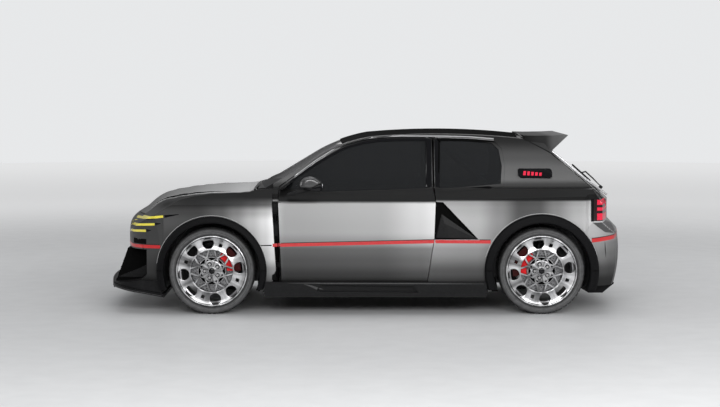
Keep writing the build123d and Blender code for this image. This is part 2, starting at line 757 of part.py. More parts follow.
def make_wiper():
    """Rear wiper: boss, arm and blade."""
    boss_x, boss_z = TAIL - 128, 912
    boss = rod((boss_x - 26, 0, boss_z - 30), (boss_x + 20, 0, boss_z + 23), 15)
    boss = boss - cabin_volume(-FIT, -FIT, -FIT) - body_volume(-FIT, -FIT, -FIT)
    arm = rod((boss_x + 14, 0, boss_z + 17), (boss_x - 60, -230, boss_z + 82), 6)
    blade = rod((boss_x - 50, -60, boss_z + 74), (boss_x - 76, -440, boss_z + 82), 7)
    return biggest(fused([boss, arm, blade]))


def make_side_lamp():
    """Lamp pod on the left rear pillar."""
    outline = [
        (TAIL - 857, 1060), (TAIL - 857, 1104), (TAIL - 845, 1112), (TAIL - 650, 1109), (TAIL - 600, 1078),
        (TAIL - 590, 1050), (TAIL - 606, 1036), (TAIL - 835, 1042),
    ]
    pod = cabin_volume(-13, -13, -13) - cabin_volume(-FIT, -FIT, -FIT)
    return pod & side_window_prism(outline)


def make_mirror():
    """Left door mirror: housing and foot."""
    sections = []
    # Columns: y, x front, x rear, z low, z high of each section of the housing.
    for y, x0, x1, z0, z1 in ((-832, -478, -362, 984, 1046), (-905, -508, -346, 966, 1066), (-985, -492, -360, 978, 1052)):
        rise = (z1 - z0) * 0.3
        ring = [
            (x0 + 30, y, z0), (x1 - 12, y, z0), (x1, y, z0 + 12), (x1, y, z1 - 12), (x1 - 12, y, z1),
            (x0 + 60, y, z1), (x0, y, z1 - rise - 10), (x0, y, z0 + rise),
        ]
        sections.append(closed_wire(ring))
    housing = Solid.make_loft(sections, ruled=True)
    foot = prism_side([
        (CABIN + 170, 860), (CABIN + 190, 925), (CABIN + 330, 962), (CABIN + 370, 1000), (CABIN + 450, 1000),
        (CABIN + 400, 950), (CABIN + 330, 860),
    ], -862, -826)
    foot = foot - body_volume(-FIT, -FIT, -FIT)
    return biggest(fused([housing, foot]))


def make_side_skirt():
    """Left side skirt with its long scoop."""
    skirt = block(FRONT + 405, REAR - 425, -925, -800, 137, 252) - body_volume(-FIT, -FIT, 0)
    scoop = prism_side([
        (CABIN + 450, 188), (CABIN + 480, 232), (CABIN + 1190, 222), (CABIN + 1230, 172), (CABIN + 470, 180),
    ], -BEYOND, -895)
    skirt = skirt - scoop
    for axle_x, flare_r in ((FRONT, FLARE_FRONT_R), (REAR, FLARE_REAR_R)):
        skirt = skirt - across(axle_x, TYRE_R, flare_r + SEAM, -BEYOND, -600)
    return biggest(skirt)


def make_diffuser():
    """Diffuser under the rear bumper with its fins."""
    half, fins, fin_thick = 600, 5, 12
    tray = prism_side([
        (REAR + 330, 168), (REAR + 330, 183), (TAIL - 170, 214.7), (TAIL - 92, 214.7), (TAIL - 92, 199),
    ], -half, half)
    pieces = [tray]
    for index in range(fins):
        y = -half + (2 * half - fin_thick) * index / (fins - 1)
        pieces.append(prism_side([
            (REAR + 332, 170), (REAR + 400, 130), (TAIL - 180, 130), (TAIL - 96, 200),
        ], y, y + fin_thick))
    return fused(pieces)


def ring_solid(points, axle_x):
    """Solid of revolution about a wheel's axle, points (radius, y)."""
    face = make_face(Polyline(*[(r, y, 0) for r, y in points], close=True))
    return Pos(axle_x, 0, TYRE_R) * revolve(face, axis=Axis.Y)


def make_tyre(axle_x):
    """Left tyre."""
    face_y, back_y = -WHEEL_FACE_Y, TYRE_WIDTH - WHEEL_FACE_Y
    bead_out = face_y + 17.4
    bead_r, lip_r, side_r = BARREL_R + FIT, RIM_LIP_R + 1, TYRE_R - TREAD_CORNER
    half = [
        (bead_r, bead_out), (lip_r, bead_out), (lip_r + 3, face_y + SIDEWALL_BULGE), (side_r, face_y),
        (TYRE_R - 8, face_y + 8), (TYRE_R, face_y + TREAD_CORNER),
    ]
    middle = face_y + back_y
    return ring_solid(half + [(r, middle - y) for r, y in reversed(half)], axle_x)


def around_axle(axle_x, radius, angle):
    """Point on a circle about a wheel's axle, angle in degrees from straight back."""
    turn = math.radians(angle)
    return axle_x + radius * math.cos(turn), TYRE_R + radius * math.sin(turn)


def make_rim(axle_x):
    """Left wheel: barrel, dish with round holes and slots, and a lattice centre."""
    lip_face = -WHEEL_FACE_Y + 7
    lip_back = TYRE_WIDTH - WHEEL_FACE_Y - 7
    dish_face = lip_face + 4
    inner_r = BARREL_R - BARREL_WALL
    barrel = ring_solid([
        (inner_r, lip_face), (RIM_LIP_R, lip_face), (RIM_LIP_R, lip_face + RIM_LIP_WIDTH),
        (BARREL_R, lip_face + RIM_LIP_WIDTH), (BARREL_R, lip_back - RIM_LIP_WIDTH),
        (RIM_LIP_R, lip_back - RIM_LIP_WIDTH), (RIM_LIP_R, lip_back), (inner_r, lip_back),
    ], axle_x)
    dish = ring_solid([
        (DISH_INNER_R, dish_face + 5), (DISH_R - 4, dish_face), (DISH_R - 4, dish_face + RIM_LIP_WIDTH - 5),
        (BARREL_R - 1, dish_face + RIM_LIP_WIDTH - 5), (BARREL_R - 1, dish_face + DISH_THICK),
        (DISH_INNER_R + 9, dish_face + 5 + DISH_THICK),
        (DISH_INNER_R + 9, -HUB_FACE_Y - 18), (DISH_INNER_R, -HUB_FACE_Y - 18),
    ], axle_x)
    for index in range(WHEEL_HOLES):
        x, z = around_axle(axle_x, WHEEL_HOLE_PCR, 360 * (index + 0.25) / WHEEL_HOLES)
        dish = dish - across(x, z, WHEEL_HOLE_R, -BEYOND, -HUB_FACE_Y)
    for index in range(SLOTS):
        angle = 360 * (index + 0.375) / SLOTS
        slot = Rot(0, -angle, 0) * block(-SLOT_SIDE / 2, SLOT_SIDE / 2, -BEYOND, -HUB_FACE_Y, -SLOT_SIDE / 2, SLOT_SIDE / 2)
        x, z = around_axle(axle_x, SLOT_PCR, angle)
        dish = dish - Pos(x, 0, z) * slot
    hub = across(axle_x, TYRE_R, HUB_R, -HUB_FACE_Y - 32, -HUB_FACE_Y)
    for index in range(LUGS):
        x, z = around_axle(axle_x, LUG_PCD / 2, 90 + 360 * index / LUGS)
        hub = hub - across(x, z, LUG_HOLE_R, -BEYOND, 0)
    bars = []
    for index in range(LATTICE_BARS):
        for swing in (-LATTICE_SWING, LATTICE_SWING):
            angle = 360 * index / LATTICE_BARS
            x0, z0 = around_axle(axle_x, HUB_R - 8, angle)
            x1, z1 = around_axle(axle_x, DISH_INNER_R + 5, angle + swing)
            run = math.hypot(x1 - x0, z1 - z0)
            side_x, side_z = (z0 - z1) / run * LATTICE_WIDTH / 2, (x1 - x0) / run * LATTICE_WIDTH / 2
            ring = [(x0 + side_x, z0 + side_z), (x1 + side_x, z1 + side_z), (x1 - side_x, z1 - side_z), (x0 - side_x, z0 - side_z)]
            bars.append(prism_side(ring, -HUB_FACE_Y - 30, -HUB_FACE_Y - 30 + LATTICE_THICK))
    return fused([barrel, dish, hub, *bars])


def make_brake_disc(axle_x):
    """Left brake disc with its hat and bearing bore."""
    inner_face = -DISC_FACE_Y + DISC_THICK
    bore_r = SPINDLE_R + RUNNING
    return ring_solid([
        (0, -HUB_FACE_Y), (HAT_R, -HUB_FACE_Y), (HAT_R, -DISC_FACE_Y), (DISC_R, -DISC_FACE_Y),
        (DISC_R, inner_face), (HAT_R - 8, inner_face), (HAT_R - 8, -HUB_BACK_Y), (bore_r, -HUB_BACK_Y),
        (bore_r, -HUB_FACE_Y + 6), (0, -HUB_FACE_Y + 6),
    ], axle_x)


def sector(axle_x, start, end, y0, y1):
    """Wedge about a wheel's axle between two angles."""
    corners = [around_axle(axle_x, 450, angle) for angle in (start, (start + end) / 2, end)]
    return prism_side([(axle_x, TYRE_R), *corners], y0, y1)


def make_caliper(axle_x, start, end):
    """Left brake caliper over its disc."""
    body = across(axle_x, TYRE_R, CALIPER_R, -CALIPER_OUTER_Y, -CALIPER_INNER_Y)
    body = body - across(axle_x, TYRE_R, CALIPER_INNER_R, -BEYOND, 0)
    slot = across(axle_x, TYRE_R, DISC_R + BRAKE_GAP, -DISC_FACE_Y - BRAKE_GAP, -DISC_FACE_Y + DISC_THICK + BRAKE_GAP)
    return (body & sector(axle_x, start, end, -BEYOND, 0)) - slot


def make_ear(axle_x, start, end):
    """Plate that carries a caliper."""
    ear = across(axle_x, TYRE_R, CALIPER_INNER_R + 40, -CALIPER_INNER_Y, -CALIPER_INNER_Y + EAR_THICK)
    return ear & sector(axle_x, start, end, -BEYOND, 0)


def make_spindle(axle_x):
    """Stub axle in the brake disc's bore."""
    return across(axle_x, TYRE_R, SPINDLE_R, -HUB_FACE_Y + 8, -CALIPER_INNER_Y)


FRONT_CALIPER_ANGLES = (0, 62)
REAR_CALIPER_ANGLES = (118, 192)


def make_knuckle():
    """Left steering knuckle: upright, king pins, spindle, caliper plate and lever."""
    upright_block = block(FRONT - 28, FRONT + 28, -KING_Y - 25, -KING_Y + 22, KNUCKLE_BOTTOM_Z, KNUCKLE_TOP_Z)
    pins = upright(FRONT, -KING_Y, KNUCKLE_BOTTOM_Z - ARM_THICK - 10, KNUCKLE_TOP_Z + ARM_THICK + 10, KING_PIN_R)
    lever = block(FRONT - 120, FRONT, -KING_Y, -KING_Y + 22, 262, 286)
    return fused([upright_block, pins, lever, make_spindle(FRONT), make_ear(FRONT, *FRONT_CALIPER_ANGLES)])


# Chassis: rails, floor and tunnel
RAIL_INNER_Y = 360
RAIL_OUTER_Y = 440
RAIL_LOW_Z = 300
RAIL_HIGH_Z = 400
RAIL_FRONT_X = NOSE + 290
FLOOR_Z = 172
FLOOR_THICK = 18
FLOOR_HALF = 769.7
FIREWALL_X = CABIN + 141
FIREWALL_THICK = 20
FLOOR_END_X = REAR - 435
TUNNEL_HALF = 110
TUNNEL_TOP = 320
SHEET = 22
BOOT_Z = 480
ENGINE_REAR_X = FRONT + 170
ENGINE_LOW_Z = 241
EXHAUST_Z = 262
PIPE_R = 26
BOOT_HALF = 590
JACK_PAD = 60
JACK_PAD_DROP = 22
JACK_PAD_Y = 700


def make_floor_pan():
    """Floor, tunnel, firewall, front rails and boot floor."""
    pieces = [
        block(POST_BACK_X + FIT, FLOOR_END_X, -FLOOR_HALF, FLOOR_HALF, FLOOR_Z, FLOOR_Z + FLOOR_THICK),
        block(FIREWALL_X, FIREWALL_X + FIREWALL_THICK, -654.7, 654.7, FLOOR_Z, 905),
        block(FIREWALL_X, FLOOR_END_X, -TUNNEL_HALF, TUNNEL_HALF, FLOOR_Z, TUNNEL_TOP),
        block(FLOOR_END_X - 15, FLOOR_END_X, -BOOT_HALF, BOOT_HALF, FLOOR_Z, BOOT_Z),
        block(FLOOR_END_X - 15, TAIL - 205, -BOOT_HALF, BOOT_HALF, BOOT_Z - 15, BOOT_Z),
        block(TAIL - 220, TAIL - 205, -BOOT_HALF + 30, BOOT_HALF - 30, 325, 700),
        block(RAIL_FRONT_X - 40, RAIL_FRONT_X, -RAIL_OUTER_Y, RAIL_OUTER_Y, RAIL_LOW_Z, RAIL_HIGH_Z),
    ]
    for y in (-1, 1):
        pieces.append(block(RAIL_FRONT_X, FIREWALL_X, y * RAIL_INNER_Y, y * RAIL_OUTER_Y, RAIL_LOW_Z, RAIL_HIGH_Z))
        for x in (FIREWALL_X + 120, FLOOR_END_X - 160):
            pieces.append(block(
                x, x + JACK_PAD, y * JACK_PAD_Y - JACK_PAD / 2, y * JACK_PAD_Y + JACK_PAD / 2,
                FLOOR_Z - JACK_PAD_DROP, FLOOR_Z,
            ))
    pan = fused(pieces)
    half = TUNNEL_HALF - SHEET
    return pan - block(FIREWALL_X - 10, FLOOR_END_X + 10, -half, half, 0, TUNNEL_TOP - SHEET)


def make_engine():
    """Engine as one plain block with its two mounts."""
    engine = block(FRONT - 290, ENGINE_REAR_X, -300, 300, ENGINE_LOW_Z, 700)
    mounts = block(FRONT - 110, FRONT - 10, -RAIL_INNER_Y + FIT, RAIL_INNER_Y - FIT, 320, 380)
    return engine + mounts


def make_radiator():
    """Radiator between the front rails."""
    half = RAIL_INNER_Y - FIT
    return block(RAIL_FRONT_X + 40, RAIL_FRONT_X + 84, -half, half, 310, 640)


def arm_outline(half_root, half_tip, root_y):
    """Plan of a control arm from its root to the king pin."""
    return [(FRONT - half_root, -root_y), (FRONT + half_root, -root_y), (FRONT + half_tip, -KING_Y), (FRONT - half_tip, -KING_Y)]


def control_arm(low_z, half_root):
    """Left control arm with the eye that holds the king pin."""
    high_z = low_z + ARM_THICK
    arm = prism_plan(arm_outline(half_root, ARM_WIDTH / 2, RAIL_OUTER_Y - 10), low_z, high_z)
    arm = arm + upright(FRONT, -KING_Y, low_z, high_z, EYE_R)
    return arm - upright(FRONT, -KING_Y, 0, SKY, KING_PIN_R + RUNNING)


def make_front_suspension():
    """Subframe with the lower arms, and the upper arms on their towers."""
    low_z = KNUCKLE_BOTTOM_Z - 6 - ARM_THICK
    high_z = KNUCKLE_TOP_Z + 6
    lower = control_arm(low_z, 90)
    leg = block(FRONT - 90, FRONT + 90, -RAIL_OUTER_Y + 2, -330, low_z, RAIL_LOW_Z - FIT)
    beam = block(FRONT - 90, FRONT + 90, -340, 340, low_z, low_z + 52)
    frame = fused([beam, lower, other_side(lower), leg, other_side(leg)])
    tower = block(FRONT - 55, FRONT + 55, -RAIL_OUTER_Y, -RAIL_OUTER_Y + 45, RAIL_HIGH_Z + FIT, high_z + ARM_THICK)
    upper = tower + control_arm(high_z, 55)
    return Compound(children=[*frame.solids(), *upper.solids(), *other_side(upper).solids()])


def make_rear_suspension():
    """Twist beam with trailing arms, uprights, spindles and dampers."""
    beam = across(REAR - 150, 345, 26, -625, 625)
    arm = prism_plan([
        (FLOOR_END_X + FIT, -590), (FLOOR_END_X + FIT, -545), (REAR - 190, -545), (REAR + 45, -612),
        (REAR + 45, -645), (REAR - 130, -590),
    ], 272, 330)
    foot = block(FLOOR_END_X + FIT, FLOOR_END_X + 40, -590, -545, FLOOR_Z, 300)
    hub_block = block(REAR - 35, REAR + 35, -772, -630, 275, 390)
    damper = upright(REAR, -632, 300, TYRE_R + FLARE_IN_R - 1.5, 18)
    left = fused([arm, foot, hub_block, damper, make_spindle(REAR), make_ear(REAR, *REAR_CALIPER_ANGLES)])
    return fused([beam, left, other_side(left)])


def make_exhaust():
    """Exhaust pipe, silencer and two tail pipes."""
    silencer_x = REAR + 200
    pipe = rod((ENGINE_REAR_X + FIT, 0, EXHAUST_Z), (silencer_x, 0, EXHAUST_Z), PIPE_R)
    silencer = block(silencer_x - 5, silencer_x + 120, -210, 210, EXHAUST_Z - 40, EXHAUST_Z + 40)
    pieces = [pipe, silencer]
    for y in (-TAIL_PIPE_Y, TAIL_PIPE_Y):
        pieces.append(tail_pipe(y, TAIL_PIPE_R, TAIL - 55))
    whole = fused(pieces)
    for y in (-TAIL_PIPE_Y, TAIL_PIPE_Y):
        whole = whole - (tail_pipe(y, TAIL_PIPE_R - 5, TAIL) & block(TAIL - 150, TAIL, -400, 400, 0, 600))
    hanger = block(silencer_x + 60, silencer_x + 80, -12, 12, EXHAUST_Z + 30, BOOT_Z - 15 - FIT)
    return whole + hanger


# Cabin furniture
SEAT_Y = 365
SEAT_HALF = 245
WHEEL_CENTRE = (CABIN + 650, -SEAT_Y, 775)
COLUMN_TILT = 22
STEERING_R = 165
SHAFT_R = 15


def column_point(distance):
    """Point on the steering column's axis, ahead of the wheel's centre."""
    turn = math.radians(COLUMN_TILT)
    x, y, z = WHEEL_CENTRE
    return (x - distance * math.cos(turn), y, z - distance * math.sin(turn))


def make_seat():
    """Left bucket seat on its rails."""
    x = CABIN + 640
    centre = prism_side([
        (x, 300), (x + 20, 410), (x + 290, 372), (x + 395, 400), (x + 560, 1010), (x + 620, 1010), (x + 510, 290),
        (x + 60, 262),
    ], -SEAT_HALF + 40, SEAT_HALF - 40)
    side = prism_side([
        (x, 300), (x + 10, 455), (x + 240, 470), (x + 350, 560), (x + 440, 860), (x + 560, 1020), (x + 620, 1010),
        (x + 510, 290), (x + 60, 262),
    ], -SEAT_HALF, -SEAT_HALF + 42)
    rail = block(x + 60, x + 480, -190, -150, FLOOR_Z + FLOOR_THICK + FIT, 300)
    seat = fused([centre, side, other_side(side), rail, other_side(rail)])
    return Pos(0, -SEAT_Y, 0) * seat


def make_roll_cage():
    """Main hoop, back stays and harness bar."""
    x, tube_r, foot_z = CABIN + 1400, 20, FLOOR_Z + FLOOR_THICK + FIT
    path = FilletPolyline(
        (x, -610, foot_z), (x, -610, 880), (x, -470, 1322), (x, 470, 1322), (x, 610, 880), (x, 610, foot_z),
        radius=90,
    )
    hoop = sweep(Plane(path @ 0, z_dir=path % 0) * Circle(tube_r), path=path)
    harness = rod((x, -600, 900), (x, 600, 900), tube_r - 3)
    stays = [rod((x, y, 1300), (REAR + 200, y, BOOT_Z + FIT), tube_r) for y in (-440, 440)]
    cut = block(-LENGTH, LENGTH, -BEYOND, BEYOND, 0, FLOOR_Z + FLOOR_THICK + FIT)
    boot_cut = block(x + 200, LENGTH, -BEYOND, BEYOND, 0, BOOT_Z + FIT)
    return fused([hoop, harness, *stays]) - cut - boot_cut


def make_dashboard():
    """Dashboard with the steering column's tube."""
    face_x = FIREWALL_X + FIREWALL_THICK + FIT
    dash = prism_side([
        (face_x, 610), (face_x, 888), (CABIN + 400, 905), (CABIN + 480, 860), (CABIN + 480, 745), (CABIN + 380, 610),
    ], -640, 640)
    tube = rod(column_point(150), column_point(330), 30)
    return (dash + tube) - rod(column_point(100), column_point(300), SHAFT_R + RUNNING)


def make_steering_wheel():
    """Steering wheel: rim, three spokes, hub and shaft."""
    axis = Vector(*column_point(0)) - Vector(*column_point(1))
    plane = Plane(origin=WHEEL_CENTRE, x_dir=(0, 1, 0), z_dir=axis)
    section = [(STEERING_R + 14 * math.cos(t), 0, 14 * math.sin(t)) for t in [math.pi / 4 * k for k in range(8)]]
    rim = plane * revolve(make_face(Polyline(*section, close=True)), axis=Axis.Z)
    hub = plane * Cylinder(38, 34)
    shaft = rod(column_point(290), column_point(5), SHAFT_R)
    spokes = []
    for angle in (0, 180, 270):
        spokes.append(plane * Rot(0, 0, angle) * Pos(STEERING_R / 2 + 10, 0, 0) * Box(STEERING_R - 20, 30, 10))
    return fused([rim, hub, shaft, *spokes])


# Right-hand pieces are the mirror images of the left-hand ones
save("floor_pan", make_floor_pan())
save_pair("side_frame", make_side_frame())
save("cowl", make_cowl())
save("roof_panel", make_roof())
save_pair("front_wing", make_wing())
save("front_bumper", make_front_bumper())
save("front_lip", make_front_lip())
save("front_grille", make_front_grille())
save("front_splitter", make_front_splitter())
save("headlamps", make_headlamps())
save("side_skirts", both_sides(make_side_skirt()))
save("rear_bumper", make_rear_bumper())
save("rear_diffuser", make_diffuser())
save("tail_lamps", skin_part(tail_lamp_region(0)))
save("side_lamps", both_sides(make_side_lamp()))
save("windscreen", window_glass(windscreen_prism()))
save("quarter_glass", both_sides(window_glass(side_window_prism(QUARTER_GLASS_OUTLINE))))
flares = [make_arch_flare(FRONT, FLARE_FRONT_R), make_arch_flare(REAR, FLARE_REAR_R)]
save("arch_flares", both_sides(Compound(children=[s for f in flares for s in f.solids()])))
housings = [make_housing(FRONT, FRONT_WELL_Y), make_housing(REAR, REAR_WELL_Y)]
save("wheel_housings", both_sides(Compound(children=[s for h in housings for s in h.solids()])))
save("engine", make_engine())
save("radiator", make_radiator())
save("front_suspension", make_front_suspension())
save("rear_suspension", make_rear_suspension())
save("rear_calipers", both_sides(make_caliper(REAR, *REAR_CALIPER_ANGLES)))
save("exhaust", make_exhaust())
save("seats", both_sides(make_seat()))
save("roll_cage", make_roll_cage())
save("dashboard", make_dashboard())
save("steering_wheel", make_steering_wheel())
save("bonnet", make_hinged_bonnet())
save("tailgate", make_hinged_tailgate())
save("tailgate_glass", window_glass(rear_glass_prism()))
save("roof_spoiler", make_spoiler())
save("rear_wiper", make_wiper())
save_pair("door", make_door())
save_pair("door_glass", window_glass(side_window_prism(DOOR_GLASS_OUTLINE)))
save_pair("mirror", make_mirror())
save_pair("knuckle", make_knuckle())
save_pair("front_caliper", make_caliper(FRONT, *FRONT_CALIPER_ANGLES))
for corner, axle_x in (("front", FRONT), ("rear", REAR)):
    save_pair(f"{corner}_tyre", make_tyre(axle_x))
    save_pair(f"{corner}_rim", make_rim(axle_x))
    save_pair(f"{corner}_disc", make_brake_disc(axle_x))
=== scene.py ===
# %% [markdown]
# # Dressing a rally car
# The CAD model gives us every panel, wheel and arm in its true place.
# This lesson adds what the eye wants: paint, rubber, glass, lamps, stripes and trim.
# We load the imported model first.

# %% Load the car
import bpy
import bmesh
import json
import math
from mathutils import Matrix, Vector
from mathutils.bvhtree import BVHTree

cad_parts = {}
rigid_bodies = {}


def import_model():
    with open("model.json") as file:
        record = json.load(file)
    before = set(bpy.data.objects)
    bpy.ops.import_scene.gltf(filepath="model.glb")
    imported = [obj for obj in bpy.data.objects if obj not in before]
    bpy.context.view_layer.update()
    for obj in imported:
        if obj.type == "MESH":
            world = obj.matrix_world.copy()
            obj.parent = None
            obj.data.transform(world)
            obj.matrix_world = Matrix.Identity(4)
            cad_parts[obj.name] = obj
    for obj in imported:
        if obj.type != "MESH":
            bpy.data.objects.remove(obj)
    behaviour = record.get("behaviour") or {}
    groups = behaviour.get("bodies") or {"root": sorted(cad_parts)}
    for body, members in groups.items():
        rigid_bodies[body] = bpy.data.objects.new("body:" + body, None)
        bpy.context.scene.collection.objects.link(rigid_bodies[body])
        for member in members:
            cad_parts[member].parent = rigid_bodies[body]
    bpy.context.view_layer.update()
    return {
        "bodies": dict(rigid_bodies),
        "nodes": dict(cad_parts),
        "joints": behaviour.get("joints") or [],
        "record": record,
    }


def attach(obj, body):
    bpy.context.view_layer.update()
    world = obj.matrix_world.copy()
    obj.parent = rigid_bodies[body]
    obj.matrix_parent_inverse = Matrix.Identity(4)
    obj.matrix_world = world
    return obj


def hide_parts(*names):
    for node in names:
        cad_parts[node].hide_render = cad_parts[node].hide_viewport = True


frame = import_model()
nodes = frame["nodes"]
SIDES = {"left": -1, "right": 1}
FRONT_AXLE, REAR_AXLE, AXLE_Z = -1.190, 1.350, 0.333

# %% [markdown]
# ## Camera and studio
# The photograph was taken from the car's left with a long lens, a little above eye height.
# A matching camera needs only a place, a tilt and a focal length.

# %% Camera
CAMERA_PLACE = (-0.0485, -13.7, 1.80)
TILT_DOWN = 4.217  # degrees below level
LENS_MM, SENSOR_MM = 83.75, 36
camera_data = bpy.data.cameras.new("side_camera")
camera_data.lens = LENS_MM
camera_data.sensor_width = SENSOR_MM
camera_data.clip_end = 200
camera = bpy.data.objects.new("side_camera", camera_data)
camera.location = CAMERA_PLACE
camera.rotation_euler = (math.radians(90 - TILT_DOWN), 0, 0)
bpy.context.scene.collection.objects.link(camera)
bpy.context.scene.camera = camera
bpy.context.scene.view_settings.view_transform = "Standard"
print("camera at", tuple(camera.location))


# %% Lamps
def soft_lamp(name, place, aim, size, power):
    """A rectangular studio lamp that points at a spot."""
    data = bpy.data.lights.new(name, "AREA")
    data.shape = "RECTANGLE"
    data.size, data.size_y = size
    data.energy = power
    lamp = bpy.data.objects.new(name, data)
    lamp.location = place
    lamp.rotation_euler = (Vector(aim) - Vector(place)).to_track_quat("-Z", "Y").to_euler()
    bpy.context.scene.collection.objects.link(lamp)
    return lamp


soft_lamp("lamp_over", (0, 0.5, 6.5), (0, 0, 0.6), (9, 3), 120)
soft_lamp("lamp_camera_side", (1.0, -9.0, 3.6), (0, 0, 0.5), (9, 2.5), 620)
soft_lamp("lamp_far_side", (2.5, 8.5, 4.2), (0, 0, 0.7), (8, 3), 70)
soft_lamp("lamp_tail", (9.0, -2.0, 3.2), (1.5, 0, 0.7), (4, 3), 160)
soft_lamp("lamp_nose", (-9.0, 1.0, 3.2), (-1.5, 0, 0.7), (4, 3), 140)
print("lamps:", len(bpy.data.lights))

# %% Background
world = bpy.data.worlds.new("studio")
bpy.context.scene.world = world
world.use_nodes = True
sky = world.node_tree
sky.nodes.clear()
ray = sky.nodes.new("ShaderNodeLightPath")
seen = sky.nodes.new("ShaderNodeMath")
seen.operation = "MAXIMUM"
pale = sky.nodes.new("ShaderNodeBackground")
pale.inputs["Color"].default_value = (0.80, 0.81, 0.82, 1)
place = sky.nodes.new("ShaderNodeTexCoord")
split = sky.nodes.new("ShaderNodeSeparateXYZ")
height = sky.nodes.new("ShaderNodeMapRange")
height.inputs["From Min"].default_value = -0.3
height.inputs["From Max"].default_value = 0.9
ramp = sky.nodes.new("ShaderNodeValToRGB")
for at, tone in ((0.30, 0.10), (0.45, 0.34), (0.70, 0.22)):
    element = ramp.color_ramp.elements.new(at)
    element.color = (tone, tone, tone * 1.02, 1)
ramp.color_ramp.elements[0].color = (0.05, 0.05, 0.05, 1)
ramp.color_ramp.elements[-1].color = (0.42, 0.43, 0.44, 1)
fill = sky.nodes.new("ShaderNodeBackground")
mixed = sky.nodes.new("ShaderNodeMixShader")
out = sky.nodes.new("ShaderNodeOutputWorld")
sky.links.new(ray.outputs["Is Camera Ray"], seen.inputs[0])
sky.links.new(ray.outputs["Is Transmission Ray"], seen.inputs[1])
sky.links.new(seen.outputs[0], mixed.inputs["Fac"])
sky.links.new(place.outputs["Generated"], split.inputs[0])
sky.links.new(split.outputs["Z"], height.inputs["Value"])
sky.links.new(height.outputs[0], ramp.inputs["Fac"])
sky.links.new(ramp.outputs["Color"], fill.inputs["Color"])
sky.links.new(fill.outputs[0], mixed.inputs[1])
sky.links.new(pale.outputs[0], mixed.inputs[2])
sky.links.new(mixed.outputs[0], out.inputs["Surface"])
print("background ready")

# %% [markdown]
# ## Materials
# Every finish is a Principled BSDF with its plain values on its own sockets.
# Noise adds what a flat colour lacks: flakes, grain, brushing, dust and wear.


# %% Material helper
def finish(name, colour, rough, metal=0.0, coat=0.0, bump=0.0, scale=400.0, vary=0.0, glow=0.0, shine=0.5):
    """A finish with optional clear coat, fine relief and soft colour changes."""
    mat = bpy.data.materials.new(name)
    mat.use_nodes = True
    mat.diffuse_color = (*colour, 1)
    tree = mat.node_tree
    bsdf = tree.nodes["Principled BSDF"]
    bsdf.inputs["Base Color"].default_value = (*colour, 1)
    bsdf.inputs["Roughness"].default_value = rough
    bsdf.inputs["Metallic"].default_value = metal
    bsdf.inputs["Coat Weight"].default_value = coat
    bsdf.inputs["Coat Roughness"].default_value = 0.05
    bsdf.inputs["Specular IOR Level"].default_value = shine
    if glow:
        bsdf.inputs["Emission Color"].default_value = (*colour, 1)
        bsdf.inputs["Emission Strength"].default_value = glow
    if bump or vary:
        place = tree.nodes.new("ShaderNodeTexCoord").outputs["Object"]
    if bump:
        grain = tree.nodes.new("ShaderNodeTexNoise")
        grain.inputs["Scale"].default_value = scale
        grain.inputs["Detail"].default_value = 4
        relief = tree.nodes.new("ShaderNodeBump")
        relief.inputs["Strength"].default_value = bump
        relief.inputs["Distance"].default_value = 0.002
        tree.links.new(place, grain.inputs["Vector"])
        tree.links.new(grain.outputs["Fac"], relief.inputs["Height"])
        tree.links.new(relief.outputs[0], bsdf.inputs["Normal"])
    if vary:
        cloud = tree.nodes.new("ShaderNodeTexNoise")
        cloud.inputs["Scale"].default_value = scale / 12
        cloud.inputs["Detail"].default_value = 5
        tones = tree.nodes.new("ShaderNodeValToRGB")
        tones.color_ramp.elements[0].position = 0.3
        tones.color_ramp.elements[1].position = 0.7
        tones.color_ramp.elements[0].color = (*[c * (1 - vary) for c in colour], 1)
        tones.color_ramp.elements[1].color = (*[min(1, c * (1 + vary)) for c in colour], 1)
        tree.links.new(place, cloud.inputs["Vector"])
        tree.links.new(cloud.outputs["Fac"], tones.inputs["Fac"])
        tree.links.new(tones.outputs["Color"], bsdf.inputs["Base Color"])
    return mat


# %% [markdown]
# ## Body paint
# The car wears a metallic graphite; the silver on the flanks is a painted reflection.
# Each panel's tone follows its height and its place along the car as painted light: painted highlight under
# the shoulder, painted shade above it.
# A fine noise makes the flakes, and a thin clear coat gives the gloss.


# %% Body paint
def op(tree, kind, *values):
    """A math node fed by numbers or by other nodes' outputs."""
    node = tree.nodes.new("ShaderNodeMath")
    node.operation = kind
    for socket, value in zip(node.inputs, values):
        if isinstance(value, (int, float)):
            socket.default_value = value
        else:
            tree.links.new(value, socket)
    return node.outputs[0]


def place_of(tree):
    """The x, y and z of a point on the piece, in metres."""
    where = tree.nodes.new("ShaderNodeTexCoord")
    split = tree.nodes.new("ShaderNodeSeparateXYZ")
    tree.links.new(where.outputs["Object"], split.inputs[0])
    return split.outputs["X"], split.outputs["Y"], split.outputs["Z"]


def tone_ramp(tree, source, stops):
    """A ramp from a coordinate in metres to a grey tone."""
    low, high = stops[0][0], stops[-1][0]
    span = tree.nodes.new("ShaderNodeMapRange")
    span.inputs["From Min"].default_value = low
    span.inputs["From Max"].default_value = high
    tree.links.new(source, span.inputs["Value"])
    ramp = tree.nodes.new("ShaderNodeValToRGB")
    ramp.color_ramp.interpolation = "EASE"
    for index, (at, tone) in enumerate(stops):
        share = (at - low) / (high - low)
        if index < 2:
            element = ramp.color_ramp.elements[index]
            element.position = share
        else:
            element = ramp.color_ramp.elements.new(share)
        element.color = (tone, tone, tone, 1)
    tree.links.new(span.outputs[0], ramp.inputs["Fac"])
    return ramp.outputs["Color"]


VENT_SLOT_X, VENT_SLOT_HALF = -0.6905, 0.0353
VENT_SLOT_OUT, VENT_SLOT_TOP = 0.8785, 0.862
FLAKE_SCALE = 900


